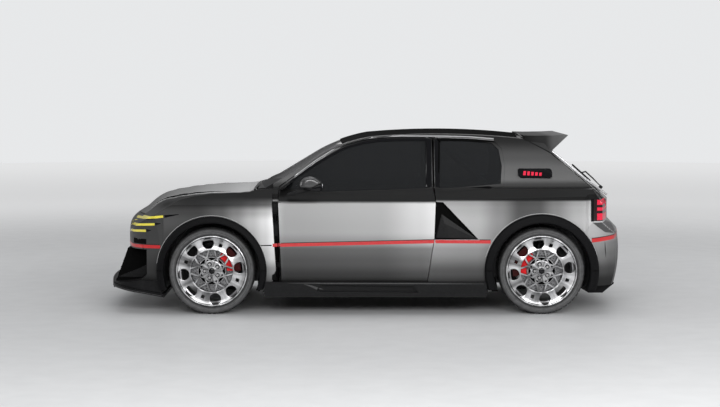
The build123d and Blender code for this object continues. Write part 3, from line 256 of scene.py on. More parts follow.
def body_paint_and_painted_light(name, heights, lengths, base=((0, 0), (1.5, 0)), widths=None, edge_tone=0.03, metal=0.12,
               coat=0.05, shine=0.08):
    """Metallic paint with painted light: a tone by height times a tone by length, plus a base tone by height,
    all painted highlights, reflections and shade.

    Widths fade it to the darker edge tone outwards as painted shade, and the slot behind the front wheel is
    painted black as painted shade.
    """
    mat = finish(name, (0.3, 0.3, 0.31), 0.42, metal=metal, coat=coat, shine=shine)
    tree = mat.node_tree
    x, y, z = place_of(tree)
    out = op(tree, "ABSOLUTE", y)
    tone = op(tree, "MULTIPLY", tone_ramp(tree, z, heights), tone_ramp(tree, x, lengths))
    tone = op(tree, "ADD", tone, tone_ramp(tree, z, base))
    # Painted shade: the tone fades darker towards the panel's edges.
    if widths:
        edge = tone_ramp(tree, out, ((widths[0], 0), (widths[1], 1)))
        tone = op(tree, "MULTIPLY_ADD", op(tree, "SUBTRACT", edge_tone, tone), edge, tone)
    flake = tree.nodes.new("ShaderNodeTexNoise")
    flake.inputs["Scale"].default_value = FLAKE_SCALE
    flake_tone = tree.nodes.new("ShaderNodeMapRange")
    flake_tone.inputs["To Min"].default_value = 0.86
    flake_tone.inputs["To Max"].default_value = 1.12
    tree.links.new(flake.outputs["Fac"], flake_tone.inputs["Value"])
    tone = op(tree, "MULTIPLY", tone, flake_tone.outputs[0])
    # Painted shade: inside the slot behind the front wheel the paint turns black.
    slot = op(tree, "COMPARE", x, VENT_SLOT_X, VENT_SLOT_HALF)
    slot = op(tree, "MULTIPLY", slot, op(tree, "LESS_THAN", out, VENT_SLOT_OUT))
    slot = op(tree, "MULTIPLY", slot, op(tree, "LESS_THAN", z, VENT_SLOT_TOP))
    tone = op(tree, "MULTIPLY", tone, op(tree, "SUBTRACT", 1.0, slot))
    tree.links.new(tone, tree.nodes["Principled BSDF"].inputs["Base Color"])
    return mat


# The tone tables below are painted light: painted highlights and reflections where bright, painted shade
# where dark.
UPPER = [
    # height, tone of the side above the shoulder: painted shade on the ledge, painted highlight higher up
    (0.86, 0), (0.885, 0.010), (0.955, 0.011), (0.985, 0.05), (1.03, 0.135), (1.10, 0.12), (1.20, 0.075),
    (1.33, 0.018), (1.40, 0.008),
]
door_paint = body_paint_and_painted_light("door_paint", [
    (0.25, 0.02), (0.30, 0.06), (0.40, 0.12), (0.50, 0.17), (0.56, 0.40), (0.64, 0.55), (0.85, 0.60),
    (0.875, 0.0),
], [
    (-0.72, 0.95), (-0.62, 0.62), (0.10, 0.72), (0.40, 1.05), (0.54, 1.25),
], UPPER)
wing_paint = body_paint_and_painted_light("wing_paint", [
    (0.15, 0.03), (0.25, 0.13), (0.34, 0.25), (0.44, 0.60), (0.58, 0.75), (0.72, 0.90), (0.79, 0.60),
    (0.85, 0.12), (0.90, 0.0),
], [
    (-1.80, 0.09), (-1.60, 0.08), (-1.30, 0.07), (-1.12, 0.15), (-1.00, 0.30), (-0.88, 0.52), (-0.78, 0.75),
    (-0.72, 0.98),
], [(0.60, 0), (0.70, 0.010), (1.00, 0.010)])
quarter_paint = body_paint_and_painted_light("quarter_paint", [
    (0.15, 0.04), (0.24, 0.08), (0.32, 0.16), (0.50, 0.55), (0.56, 0.78), (0.72, 0.92), (0.82, 0.80),
    (0.865, 0.66), (0.885, 0.0),
], [
    (0.52, 0.52), (0.84, 0.47), (1.02, 0.28), (1.18, 0.10), (1.32, 0.11), (1.45, 0.26), (1.62, 0.46),
    (1.74, 0.60), (1.93, 0.5),
], UPPER)
nose_paint = body_paint_and_painted_light("nose_paint", [
    (0.25, 0.20), (0.32, 0.6), (0.50, 1.0), (0.62, 0.9), (0.80, 0.8),
], [
    (-2.00, 0.15), (-1.85, 0.10), (-1.72, 0.065), (-1.56, 0.060),
])
tail_paint = body_paint_and_painted_light("tail_paint", [
    (0.15, 0.05), (0.26, 0.08), (0.33, 0.20), (0.45, 0.55), (0.54, 0.75), (0.58, 1.1), (0.72, 1.2),
    (1.40, 1.0),
], [
    (1.30, 0.03), (1.43, 0.04), (1.50, 0.30), (1.60, 0.42), (1.75, 0.38), (1.90, 0.26), (2.04, 0.20),
])
EVEN = [(0.5, 1.0), (1.5, 1.0)]
bonnet_paint = body_paint_and_painted_light("bonnet_paint", EVEN, [
    (-1.90, 0.10), (-1.70, 0.16), (-1.45, 0.26), (-1.20, 0.42), (-0.95, 0.58), (-0.86, 0.58),
], widths=(0.625, 0.665), edge_tone=0.018)
roof_paint = body_paint_and_painted_light("roof_paint", EVEN, [(-0.3, 0.022), (0.3, 0.015), (1.3, 0.012)],
                        metal=0.0, coat=0.0, shine=0.0)
spoiler_paint = body_paint_and_painted_light("spoiler_paint", EVEN, [(1.24, 0.012), (1.40, 0.025), (1.48, 0.09), (1.59, 0.13)],
                           metal=0.0, coat=0.0, shine=0.02)
PAINTS = (
    door_paint, wing_paint, quarter_paint, nose_paint, tail_paint, bonnet_paint, roof_paint, spoiler_paint,
)
print("body paints:", len(PAINTS))

# %% Trim, glass and rubber
satin_black = finish("satin_black", (0.009, 0.009, 0.0095), 0.40, bump=0.06, scale=900, vary=0.25, shine=0.12)
gloss_black = finish("gloss_black", (0.004, 0.004, 0.005), 0.12, coat=0.15, shine=0.2)
deep_black = finish("deep_black", (0.002, 0.002, 0.002), 0.8, vary=0.2, shine=0.05)
flare_grey = finish("flare_grey", (0.007, 0.007, 0.0075), 0.5, bump=0.1, scale=1200, vary=0.2, shine=0.04)
# A satin grey for painted highlights on ridges and edges.
ridge_painted_highlight = finish("ridge_painted_highlight", (0.06, 0.06, 0.061), 0.4, bump=0.05, scale=900, vary=0.2, shine=0.2)
tyre_rubber = finish("tyre_rubber", (0.072, 0.072, 0.073), 0.6, bump=0.2, scale=500, vary=0.2, shine=0.2)
stripe_red = finish("stripe_red", (0.56, 0.016, 0.02), 0.3, coat=0.4, vary=0.06)
stripe_black = finish("stripe_black", (0.01, 0.01, 0.01), 0.35, vary=0.1)
lamp_yellow = finish("lamp_yellow", (0.74, 0.64, 0.07), 0.25, coat=0.6, glow=0.12, vary=0.08, scale=300)
lamp_red = finish("lamp_red", (0.62, 0.012, 0.045), 0.22, coat=0.6, glow=0.35, vary=0.1, scale=300)
lamp_dark = finish("lamp_dark", (0.016, 0.003, 0.004), 0.08, coat=0.8, vary=0.2)
mirror_cap = finish("mirror_cap", (0.07, 0.07, 0.071), 0.26, metal=0.5, coat=0.4, vary=0.1, scale=900)
mirror_glass = finish("mirror_glass", (0.75, 0.76, 0.78), 0.03, metal=1.0, vary=0.02)
# A grey for painted shade on the tail facet.
facet_painted_shade = finish("facet_painted_shade", (0.075, 0.075, 0.076), 0.34, metal=0.3, coat=0.2, vary=0.1, scale=900)
# A light grey for painted highlights along edges, rails and slits.
edge_painted_highlight = finish("edge_painted_highlight", (0.42, 0.42, 0.425), 0.3, metal=0.2, vary=0.05, scale=600)
# A bright grey for the painted highlight on the tailgate's edge.
gate_painted_highlight = finish("gate_painted_highlight", (0.50, 0.50, 0.51), 0.3, metal=0.45, coat=0.3, vary=0.05, scale=900)
print("trim finishes ready")


# %% Metals
def wheel_painted_light(mat, rings, reflection_swirl=0.0):
    """Paints light into a wheel's finish: a tone by the distance from its axle, and painted reflection
    streaks round it.
    """
    tree = mat.node_tree
    x, y, z = place_of(tree)
    behind = op(tree, "GREATER_THAN", x, 0.0)
    x = op(tree, "SUBTRACT", x, op(tree, "MULTIPLY_ADD", behind, REAR_AXLE - FRONT_AXLE, FRONT_AXLE))
    z = op(tree, "SUBTRACT", z, AXLE_Z)
    radius = op(tree, "SQRT", op(tree, "MULTIPLY_ADD", x, x, op(tree, "MULTIPLY", z, z)))
    tone = tone_ramp(tree, radius, rings)
    if reflection_swirl:
        around = tree.nodes.new("ShaderNodeCombineXYZ")
        tree.links.new(op(tree, "DIVIDE", x, radius), around.inputs[0])
        tree.links.new(op(tree, "DIVIDE", z, radius), around.inputs[1])
        streaks = tree.nodes.new("ShaderNodeTexNoise")
        streaks.inputs["Scale"].default_value = 2.6
        streaks.inputs["Detail"].default_value = 2
        tree.links.new(around.outputs[0], streaks.inputs["Vector"])
        soft = ((0.36, 1 - reflection_swirl), (0.50, 1 - reflection_swirl * 0.5), (0.62, 1.0))
        tone = op(tree, "MULTIPLY", tone, tone_ramp(tree, streaks.outputs["Fac"], soft))
    colour = tree.nodes.new("ShaderNodeMixRGB")
    colour.blend_type = "MULTIPLY"
    colour.inputs["Fac"].default_value = 1
    bsdf = tree.nodes["Principled BSDF"]
    tree.links.new(bsdf.inputs["Base Color"].links[0].from_socket, colour.inputs["Color1"])
    tree.links.new(tone, colour.inputs["Color2"])
    tree.links.new(colour.outputs["Color"], bsdf.inputs["Base Color"])


alloy = finish("machined_alloy", (0.66, 0.66, 0.67), 0.30, metal=0.9, bump=0.03, scale=260, vary=0.10)
# Painted light on the alloy: painted shade darker towards the centre, and painted reflection streaks round
# the axle.
wheel_painted_light(alloy, ((0.0, 0.55), (0.08, 0.75), (0.16, 0.9), (0.20, 0.95), (0.275, 1.0)), reflection_swirl=0.72)
alloy_dark = finish("etched_alloy", (0.32, 0.32, 0.33), 0.35, metal=1.0, bump=0.1, scale=500, vary=0.15)
disc_iron = finish("ground_iron", (0.20, 0.20, 0.205), 0.34, metal=1.0, bump=0.2, scale=120, vary=0.2)
caliper_red = finish("caliper_red", (0.62, 0.012, 0.016), 0.4, coat=0.05, vary=0.08, shine=0.1)
# Painted shade: the caliper turns near black past 0.17 m from the axle, in the wheel's shade.
wheel_painted_light(caliper_red, ((0.0, 1.0), (0.160, 1.0), (0.172, 0.06), (0.26, 0.03)))
# Painted light on the tyre: painted highlight rings on the sidewall, painted shade by the rim and on the
# tread.
wheel_painted_light(tyre_rubber, (
    (0.27, 0.4), (0.280, 0.5), (0.292, 1.2), (0.300, 1.6), (0.303, 0.6), (0.306, 1.3), (0.318, 1.1),
    (0.326, 0.4),
    (0.334, 0.3)))
steel_bare = finish("bare_steel", (0.45, 0.44, 0.43), 0.3, metal=1.0, bump=0.12, scale=300, vary=0.15)
chassis_black = finish("chassis_black", (0.02, 0.02, 0.021), 0.5, bump=0.2, scale=300, vary=0.3)
cast_metal = finish("cast_metal", (0.25, 0.25, 0.26), 0.55, metal=0.8, bump=0.5, scale=260, vary=0.2)
exhaust_metal = finish("exhaust_metal", (0.40, 0.37, 0.34), 0.32, metal=1.0, bump=0.15, scale=200, vary=0.25)
cage_paint = finish("cage_paint", (0.20, 0.20, 0.21), 0.35, coat=0.3, vary=0.1)
print("metal finishes ready")

# %% Cabin finishes
seat_cloth = finish("seat_cloth", (0.022, 0.022, 0.024), 0.85, bump=0.6, scale=900, vary=0.3)
seat_side = finish("seat_side", (0.05, 0.05, 0.052), 0.6, bump=0.3, scale=600, vary=0.2)
dash_plastic = finish("dash_plastic", (0.025, 0.025, 0.026), 0.6, bump=0.4, scale=800, vary=0.2)
leather = finish("rim_leather", (0.02, 0.019, 0.018), 0.55, bump=0.5, scale=500, vary=0.25)
belt_red = finish("belt_red", (0.5, 0.02, 0.02), 0.7, bump=0.5, scale=1500, vary=0.1)
print("cabin finishes ready")


# %% [markdown]
# ## Tinted glass
# Dark side glass shows only a hint of the cabin.
# A mix of a clear, tinted pass-through and a glossy coat reads as glass and stays cheap to render.


# %% Glass
def tinted_glass(name, tint, gloss):
    """Dark glass that lets through a share of the light behind it."""
    mat = bpy.data.materials.new(name)
    mat.use_nodes = True
    mat.diffuse_color = (0.05, 0.05, 0.05, 0.6)
    tree = mat.node_tree
    bsdf = tree.nodes["Principled BSDF"]
    bsdf.inputs["Base Color"].default_value = (0.01, 0.011, 0.012, 1)
    bsdf.inputs["Roughness"].default_value = 0.04
    bsdf.inputs["Coat Weight"].default_value = gloss
    bsdf.inputs["Alpha"].default_value = 1 - tint
    return mat


side_glass = tinted_glass("side_glass", 0.20, 0.3)
screen_glass = tinted_glass("screen_glass", 0.34, 0.3)
print("glass ready")

# %% [markdown]
# ## Dressing the CAD panels
# Each panel of the frame gets its finish by name.
# The floor is a wide disc, so that the car stands on something and throws a soft shadow.

# %% Node finishes
NODE_FINISH = {
    "doors": (door_paint, ["door_left", "door_right"]),
    "quarters": (quarter_paint, ["side_frame_left", "side_frame_right"]),
    "wings": (wing_paint, ["front_wing_left", "front_wing_right"]),
    "nose": (nose_paint, ["front_bumper"]),
    "tail": (tail_paint, ["rear_bumper", "tailgate"]),
    "spoiler": (spoiler_paint, ["roof_spoiler"]),
    "bonnet": (bonnet_paint, ["bonnet"]),
    "roof": (roof_paint, ["roof_panel"]),
    "satin": (satin_black, [
        "cowl", "front_lip", "front_splitter", "side_skirts", "rear_diffuser", "rear_wiper"]),
    "gloss": (gloss_black, ["side_lamps"]),
    "flare": (flare_grey, ["arch_flares"]),
    "deep": (deep_black, ["front_grille"]),
    "mirror": (satin_black, ["mirror_left", "mirror_right"]),
    "side glass": (side_glass, ["quarter_glass", "door_glass_left", "door_glass_right"]),
    "screens": (screen_glass, ["windscreen", "tailgate_glass"]),
    "yellow": (lamp_yellow, ["headlamps"]),
    "tail lamps": (lamp_dark, ["tail_lamps"]),
    "chassis": (chassis_black, [
        "floor_pan", "wheel_housings", "front_suspension", "rear_suspension", "radiator"]),
    "cast": (cast_metal, ["engine", "knuckle_left", "knuckle_right"]),
    "calipers": (caliper_red, ["front_caliper_left", "front_caliper_right", "rear_calipers"]),
    "pipes": (exhaust_metal, ["exhaust"]),
    "seats": (seat_cloth, ["seats"]),
    "cage": (cage_paint, ["roll_cage"]),
    "dash": (dash_plastic, ["dashboard"]),
    "wheel": (leather, ["steering_wheel"]),
    "discs": (disc_iron, [f"{end}_disc_{side}" for end in ("front", "rear") for side in SIDES]),
    "tyres": (tyre_rubber, [f"{end}_tyre_{side}" for end in ("front", "rear") for side in SIDES]),
    "rims": (alloy, [f"{end}_rim_{side}" for end in ("front", "rear") for side in SIDES]),
}
for mat, names in NODE_FINISH.values():
    for name in names:
        data = nodes[name].data
        data.materials.clear()
        data.materials.append(mat)
dressed = {name for _, names in NODE_FINISH.values() for name in names}
print("without finish:", sorted(set(nodes) - dressed))


# %% Floor
def add_piece(name, data):
    """Puts a mesh into the scene as a piece."""
    piece = bpy.data.objects.new(name, data)
    bpy.context.scene.collection.objects.link(piece)
    return piece


def new_piece(name, points, faces, mat, smooth=False):
    """A mesh piece from points and faces, already in its place."""
    data = bpy.data.meshes.new(name)
    data.from_pydata([tuple(p) for p in points], [], faces)
    data.validate()
    data.materials.append(mat)
    if smooth:
        data.shade_smooth()
    else:
        data.shade_flat()
    return add_piece(name, data)


FLOOR_R, FLOOR_SIDES = 24.0, 96
turns = [2 * math.pi * k / FLOOR_SIDES for k in range(FLOOR_SIDES)]
floor_points = [(FLOOR_R * math.cos(turn), FLOOR_R * math.sin(turn), 0) for turn in turns]
floor_mat = finish("studio_floor", (0.62, 0.625, 0.63), 0.55, bump=0.05, scale=60, vary=0.03)
floor_tree = floor_mat.node_tree
floor_x, floor_y, _ = place_of(floor_tree)
reach = op(floor_tree, "MULTIPLY_ADD", floor_y, floor_y, op(floor_tree, "MULTIPLY", floor_x, floor_x))
reach = op(floor_tree, "SQRT", reach)
far_glow = tone_ramp(floor_tree, reach, ((2.5, 0.0), (5.0, 0.08), (12.0, 0.42), (24.0, 0.55)))
seen = floor_tree.nodes.new("ShaderNodeLightPath").outputs["Is Camera Ray"]
floor_bsdf = floor_tree.nodes["Principled BSDF"]
floor_bsdf.inputs["Emission Color"].default_value = (1, 1, 1, 1)
floor_tree.links.new(op(floor_tree, "MULTIPLY", far_glow, seen), floor_bsdf.inputs["Emission Strength"])
floor = new_piece("studio_floor", floor_points, [list(range(FLOOR_SIDES))], floor_mat)
print("floor ready")

# %% [markdown]
# ## Softer nose and thinner blade
# The photo's nose is a little fuller than the CAD panels.
# Its bonnet runs lower to the screen, and its blade rises forward.
# We copy those panels, shift each point by a smooth amount, and let the copies stand in for the CAD nodes.

# %% Reshaped panels
NOSE_SHIFTS = [
    # x, forward shift, upward shift
    (-2.10, 0.012, 0.004), (-1.905, 0.014, 0.006), (-1.860, 0.022, 0.022), (-1.800, 0.024, 0.038),
    (-1.720, 0.012, 0.044), (-1.650, 0.004, 0.040), (-1.580, 0.0, 0.030), (-1.475, 0.0, 0.009),
    (-1.370, 0.0, -0.010), (-1.250, 0.0, -0.024), (-1.108, 0.0, -0.033), (-1.000, 0.0, -0.030),
    (-0.930, 0.0, -0.019), (-0.882, 0.0, -0.006), (-0.860, 0.0, 0.0),
]


def smooth_share(value, low, high):
    """Nought below low, one above high, and an eased share between."""
    t = min(1.0, max(0.0, (value - low) / (high - low)))
    return t * t * (3 - 2 * t)


def nose_shift(at):
    """How far a point of the nose panels moves."""
    if at.x >= NOSE_SHIFTS[-1][0]:
        return Vector((0, 0, 0))
    for (x0, f0, u0), (x1, f1, u1) in zip(NOSE_SHIFTS, NOSE_SHIFTS[1:]):
        if at.x <= x1:
            share = smooth_share(at.x, x0, x1)
            forward, up = f0 + (f1 - f0) * share, u0 + (u1 - u0) * share
            break
    low = 0.765 + 0.035 * smooth_share(at.x, -1.60, -1.40)
    weight = smooth_share(at.z, low, low + 0.075)
    side = 1 - 0.9 * smooth_share(abs(at.y), 0.74, 0.88)
    return Vector((-forward * smooth_share(at.z, 0.58, 0.72), 0, up * weight * side))


def blade_shift(at):
    """The lip and the blade rise towards their front edge."""
    rise = 0.018 + 0.165 * max(0.0, -1.55 - at.x)
    return Vector((0, 0, rise * min(1.0, max(0.0, (0.256 - at.z) / 0.122))))


def reshaped(name, shift, body):
    """A finer copy of a CAD panel with each point shifted."""
    data = nodes[name].data.copy()
    fine = bmesh.new()
    fine.from_mesh(data)
    for reach in (0.12, 0.06):
        longer = [e for e in fine.edges if e.calc_length() > reach]
        bmesh.ops.subdivide_edges(fine, edges=longer, cuts=1)
        bmesh.ops.triangulate(fine, faces=[f for f in fine.faces if len(f.verts) > 3])
    for vert in fine.verts:
        vert.co += shift(vert.co)
    fine.to_mesh(data)
    fine.free()
    data.shade_smooth()
    data.set_sharp_from_angle(angle=math.radians(24))
    piece = add_piece(f"{name}_panel", data)
    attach(piece, body)
    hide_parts(name)
    return piece


SHAPED = {name: reshaped(name, nose_shift, "bonnet" if name == "bonnet" else "shell")
          for name in ("bonnet", "front_bumper", "front_wing_left", "front_wing_right", "headlamps")}
for name in ("front_lip", "front_splitter"):
    SHAPED[name] = reshaped(name, blade_shift, "shell")
print("reshaped panels:", {name: len(piece.data.polygons) for name, piece in SHAPED.items()})

# %% [markdown]
# ## Working on the skin
# Stripes, seals and panels must lie exactly on the curved bodywork.
# We shoot rays sideways at the CAD panels and let every new strip land where they hit.
# Each strip is made on the left and mirrored to the right.


# %% Skin rays
def tree_of(*names):
    """One ray-cast tree from some CAD nodes."""
    points, faces = [], []
    for name in names:
        piece = SHAPED.get(name, nodes[name])
        base = len(points)
        points += [piece.matrix_world @ v.co for v in piece.data.vertices]
        faces += [[base + i for i in face.vertices] for face in piece.data.polygons]
    return BVHTree.FromPolygons(points, faces)


SKIN = tree_of("door_left", "side_frame_left", "front_wing_left", "front_bumper", "rear_bumper", "tailgate",
               "roof_panel", "door_glass_left", "quarter_glass", "bonnet", "windscreen")
DOOR_SKIN = tree_of("door_left")
FRAME_SKIN = tree_of("side_frame_left", "rear_bumper")
WING_SKIN = tree_of("front_wing_left", "front_bumper")


def skin_y(x, z, tree, fallback):
    """How far out the left skin is at a place, seen from the left; past its edge, the nearest skin."""
    hit = tree.ray_cast(Vector((x, -1.6, z)), Vector((0, 1, 0)))[0]
    if hit is None:
        hit = tree.find_nearest(Vector((x, fallback, z)))[0]
    return hit.y


def resample(line, count):
    """Points at even distances along a polyline."""
    line = [Vector(p) for p in line]
    steps = [(b - a).length for a, b in zip(line, line[1:])]
    total, result = sum(steps), []
    for k in range(count):
        left = total * k / (count - 1)
        for a, b, step in zip(line, line[1:], steps):
            if left <= step + 1e-9:
                result.append(a.lerp(b, left / step if step else 0))
                break
            left -= step
        else:
            result.append(line[-1].copy())
    return result


print("skin trees ready")


# %% Strips and tubes
def slab(name, front, back, rows, columns, mat, closed=False, smooth=True):
    """A thin closed piece between a front grid and a back grid of points."""
    points = front + back
    half = len(front)
    wrap = columns if closed else columns - 1
    faces = []
    for r in range(rows - 1):
        for c in range(wrap):
            d = (c + 1) % columns
            a, b, e, f = r * columns + c, r * columns + d, (r + 1) * columns + d, (r + 1) * columns + c
            faces += [[a, b, e, f], [half + f, half + e, half + b, half + a]]
    for c in range(wrap):
        d, low = (c + 1) % columns, (rows - 1) * columns
        faces += [[c, half + c, half + d, d], [low + d, half + low + d, half + low + c, low + c]]
    if not closed:
        for r in range(rows - 1):
            a, b = r * columns, (r + 1) * columns
            e, f = a + columns - 1, b + columns - 1
            faces += [[b, half + b, half + a, a], [e, half + e, half + f, f]]
    piece = new_piece(name, points, faces, mat, smooth)
    if smooth:
        piece.data.set_sharp_from_angle(angle=math.radians(40))
    return piece


def mirror_points(points, side):
    """Left-hand points, mirrored when the side is the right."""
    return [(p[0], p[1] * -SIDES[side], p[2]) for p in points]


def slab_pair(name, front, back, rows, columns, mat, bodies, closed=False, turned=False):
    """A left slab and its mirror image; turned swaps the grid that faces out."""
    made = []
    for side in SIDES:
        a, b = mirror_points(front, side), mirror_points(back, side)
        if (side == "right") != turned:
            a, b = b, a
        piece = slab(f"{name}_{side}", a, b, rows, columns, mat, closed)
        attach(piece, bodies if isinstance(bodies, str) else bodies[side])
        made.append(piece)
    return made


def side_strip(name, upper, lower, mat, tree, bodies, lift=0.0012, thick=0.002, columns=60, rows=2,
               closed=False, fallback=-0.85, depth=None):
    """A strip on both flanks between two (x, z) lines, laid on the skin and mirrored."""
    top, low = resample(upper, columns + closed), resample(lower, columns + closed)
    front, back = [], []
    for r in range(rows):
        last = fallback
        for c in range(columns):
            at = top[c].lerp(low[c], r / (rows - 1))
            if depth is None:
                last = skin_y(at.x, at.y, tree, last)
            else:
                last = depth(at) if callable(depth) else depth
            front.append((at.x, last - lift, at.y))
            back.append((at.x, last - lift + thick, at.y))
    return slab_pair(name, front, back, rows, columns, mat, bodies, closed)


def tube(name, path, radius, mat, body=None, sides=12):
    """A round bar along a path, as a mesh that rides a body if one is named."""
    curve = bpy.data.curves.new(name, "CURVE")
    curve.dimensions = "3D"
    curve.bevel_depth = radius
    curve.bevel_resolution = max(1, sides // 4 - 1)
    curve.use_fill_caps = True
    spline = curve.splines.new("POLY")
    spline.points.add(len(path) - 1)
    for point, at in zip(spline.points, path):
        point.co = (*at, 1)
    holder = bpy.data.objects.new(name, curve)
    bpy.context.scene.collection.objects.link(holder)
    data = bpy.data.meshes.new_from_object(holder)
    bpy.data.objects.remove(holder)
    data.materials.clear()
    data.materials.append(mat)
    data.shade_smooth()
    data.set_sharp_from_angle(angle=math.radians(50))
    piece = add_piece(name, data)
    if body:
        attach(piece, body)
    return piece


DOOR_BODY = {"left": "door_left", "right": "door_right"}
print("strip tools ready")

# %% [markdown]
# ## The red line
# One thin red stripe climbs gently from nose to tail at axle height.
# It breaks at the wheels and at the door joint, because doors open.
# A hairline of black runs along its upper edge.

# %% Red stripe
STRIPE_LINE = [
    (-1.820, 0.516), (-0.722, 0.533), (-0.054, 0.548), (0.527, 0.562), (0.972, 0.560), (1.705, 0.563),
    (1.985, 0.592),
]
RED_HALF, HAIR = 0.0125, 0.006


def stripe_z(x):
    """The height of the stripe's middle at a place along the car."""
    for (x0, z0), (x1, z1) in zip(STRIPE_LINE, STRIPE_LINE[1:]):
        if x <= x1:
            return z0 + (z1 - z0) * (x - x0) / (x1 - x0)
    return STRIPE_LINE[-1][1]


def stripe_edge(xs, offset):
    """A line beside the stripe's middle."""
    return [(x, stripe_z(x) + offset) for x in xs]


def red_band(name, xs, tree, bodies, **laid):
    """A short length of the red stripe."""
    side_strip(name, stripe_edge(xs, RED_HALF), stripe_edge(xs, -RED_HALF), stripe_red, tree, bodies, **laid)


STRIPE_PARTS = [
    # name, from x, to x, half width, tree, bodies
    ("stripe_bumper", -1.822, -1.585, RED_HALF, WING_SKIN, "shell"),
    ("stripe_door", -0.656, 0.522, RED_HALF, DOOR_SKIN, DOOR_BODY),
    ("stripe_quarter", 0.530, 0.955, RED_HALF, FRAME_SKIN, "shell"),
    ("stripe_tail", 1.735, 1.975, 0.0150, FRAME_SKIN, "shell"),
]
for name, x0, x1, half, tree, bodies in STRIPE_PARTS:
    xs = [x0 + (x1 - x0) * k / 24 for k in range(25)]
    top, low, hair = (stripe_edge(xs, offset) for offset in (half, -half, half + HAIR))
    side_strip(name, top, low, stripe_red, tree, bodies, lift=0.0012, thick=0.0018)
    side_strip(name + "_edge", hair, top, stripe_black, tree, bodies, lift=0.0010, thick=0.0016)
WING_JOINT = (-0.838, -0.800, -0.760, -0.727)
side_strip("wing_joint", stripe_edge(WING_JOINT, 0.004), stripe_edge(WING_JOINT, -0.004), gloss_black,
           WING_SKIN, "shell", columns=16)
print("stripe pieces:", len(STRIPE_PARTS) * 2 + 1)

# %% [markdown]
# ## Vent behind the front wheel
# A tall dark slot parts the wing from the door.
# Its blade stands back from both panels and is black as painted shade, and the red line crosses it.

# %% Side vents
VENT_TOP_Z, VENT_FOOT_Z, VENT_STEPS = 0.846, 0.262, 24
VENT_HEIGHT = VENT_TOP_Z - VENT_FOOT_Z
WING_END_X, DOOR_START_X = -0.726, -0.684
VENT_LEAN = 0.034  # the wing's edge leans back by this much on its way down
vent_front = [(-0.740, VENT_TOP_Z), (-0.735, 0.700), (-0.728, 0.540), (-0.715, 0.400), (-0.703, VENT_FOOT_Z)]
print("vent height:", round(VENT_HEIGHT, 3))

# %% Wing edge and post liner
wing_y = [skin_y(-0.732, z, WING_SKIN, -0.885) for _, z in resample(vent_front, VENT_STEPS)]
edge_line = resample([(WING_END_X, VENT_TOP_Z), (WING_END_X, VENT_FOOT_Z)], VENT_STEPS)
edge_front, edge_back = [], []
for share in (0.0, 0.5, 1.0):
    for at, skin in zip(edge_line, wing_y):
        x = at.x + VENT_LEAN * (VENT_TOP_Z - at.y) / VENT_HEIGHT * share
        y = skin + 0.002 * share * share
        edge_front.append((x, y, at.y))
        edge_back.append((x, y + 0.003, at.y))
slab_pair("wing_edge", edge_front, edge_back, 3, VENT_STEPS, wing_paint, "shell", turned=True)
# The liner and the sheet above it are black sheets of painted shade in the slot.
side_strip("vent_liner", [(-0.724, 0.850), (DOOR_START_X, 0.850)],
           [(-0.724, VENT_FOOT_Z), (DOOR_START_X, VENT_FOOT_Z)], deep_black, DOOR_SKIN, "shell",
           lift=0, thick=0.001, columns=8, rows=8, depth=-0.8168)
side_strip("vent_shade", [(-0.7245, 0.852), (DOOR_START_X, 0.852)], [(-0.7245, 0.600), (DOOR_START_X, 0.600)],
           satin_black, DOOR_SKIN, "shell", lift=0, thick=0.001, columns=8, rows=8, depth=-0.8190)
red_band("vent_red", (-0.7225, DOOR_START_X), DOOR_SKIN, "shell", lift=0, thick=0.0012, columns=6,
         depth=-0.8778)
red_band("wing_red", (-0.7195, -0.7078), WING_SKIN, "shell", lift=0, thick=0.0012, columns=4,
         depth=wing_y[12] - 0.0008)
red_band("door_red", (-0.6795, -0.652), DOOR_SKIN, DOOR_BODY, lift=0.0012, columns=14)
print("vents ready")

# %% [markdown]
# ## Pocket behind the door
# A dark triangle is pressed into the rear quarter, just above the stripe; its floor is a black sheet of
# painted shade.
# A faceted panel rises from its floor.

# %% Triangle pocket
left_and_foot = [(0.5305, 0.8670), (0.5190, 0.5790), (0.8610, 0.5790)]
roofline = [(0.5310, 0.8675), (0.5885, 0.8635), (0.8625, 0.5793)]
# The pocket floor is a black sheet of painted shade.
side_strip("pocket_floor", roofline, left_and_foot, deep_black, FRAME_SKIN, "shell", lift=0, thick=0.0008,
           columns=40, rows=6, depth=-0.8633)
facet_points = [
    (0.579, -0.866, 0.771), (0.527, -0.866, 0.582), (0.852, -0.874, 0.582), (0.640, -0.884, 0.590),
    (0.600, -0.880, 0.700), (0.540, -0.878, 0.590),
]
facet_faces = [[0, 1, 5, 4], [0, 4, 2], [4, 3, 2], [4, 5, 3], [1, 2, 3, 5]]
for side in SIDES:
    faces = facet_faces if side == "left" else [f[::-1] for f in facet_faces]
    facet = new_piece(f"pocket_facet_{side}", mirror_points(facet_points, side), faces, satin_black)
    solid = facet.modifiers.new("solid", "SOLIDIFY")
    solid.thickness = 0.002
    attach(facet, "shell")
print("pockets ready")

# %% [markdown]
# ## Window surrounds
# The side glass reads as one dark band because its frames and the pillar between are gloss black.
# A thin painted highlight follows the roof rail above it.

# %% Window surrounds
DOOR_GLASS = [
    (-0.641, 0.958), (-0.524, 1.050), (-0.382, 1.143), (-0.240, 1.225), (-0.153, 1.266), (-0.021, 1.303),
    (0.109, 1.320), (0.273, 1.326), (0.481, 1.326), (0.472, 1.120), (0.472, 0.962), (0.109, 0.949),
    (-0.338, 0.936), (-0.530, 0.950),
]
QUARTER_GLASS = [
    (0.577, 1.326), (0.800, 1.322), (0.985, 1.306), (1.037, 1.256), (1.059, 1.132), (1.047, 0.993),
    (0.730, 0.968), (0.565, 0.962),
]


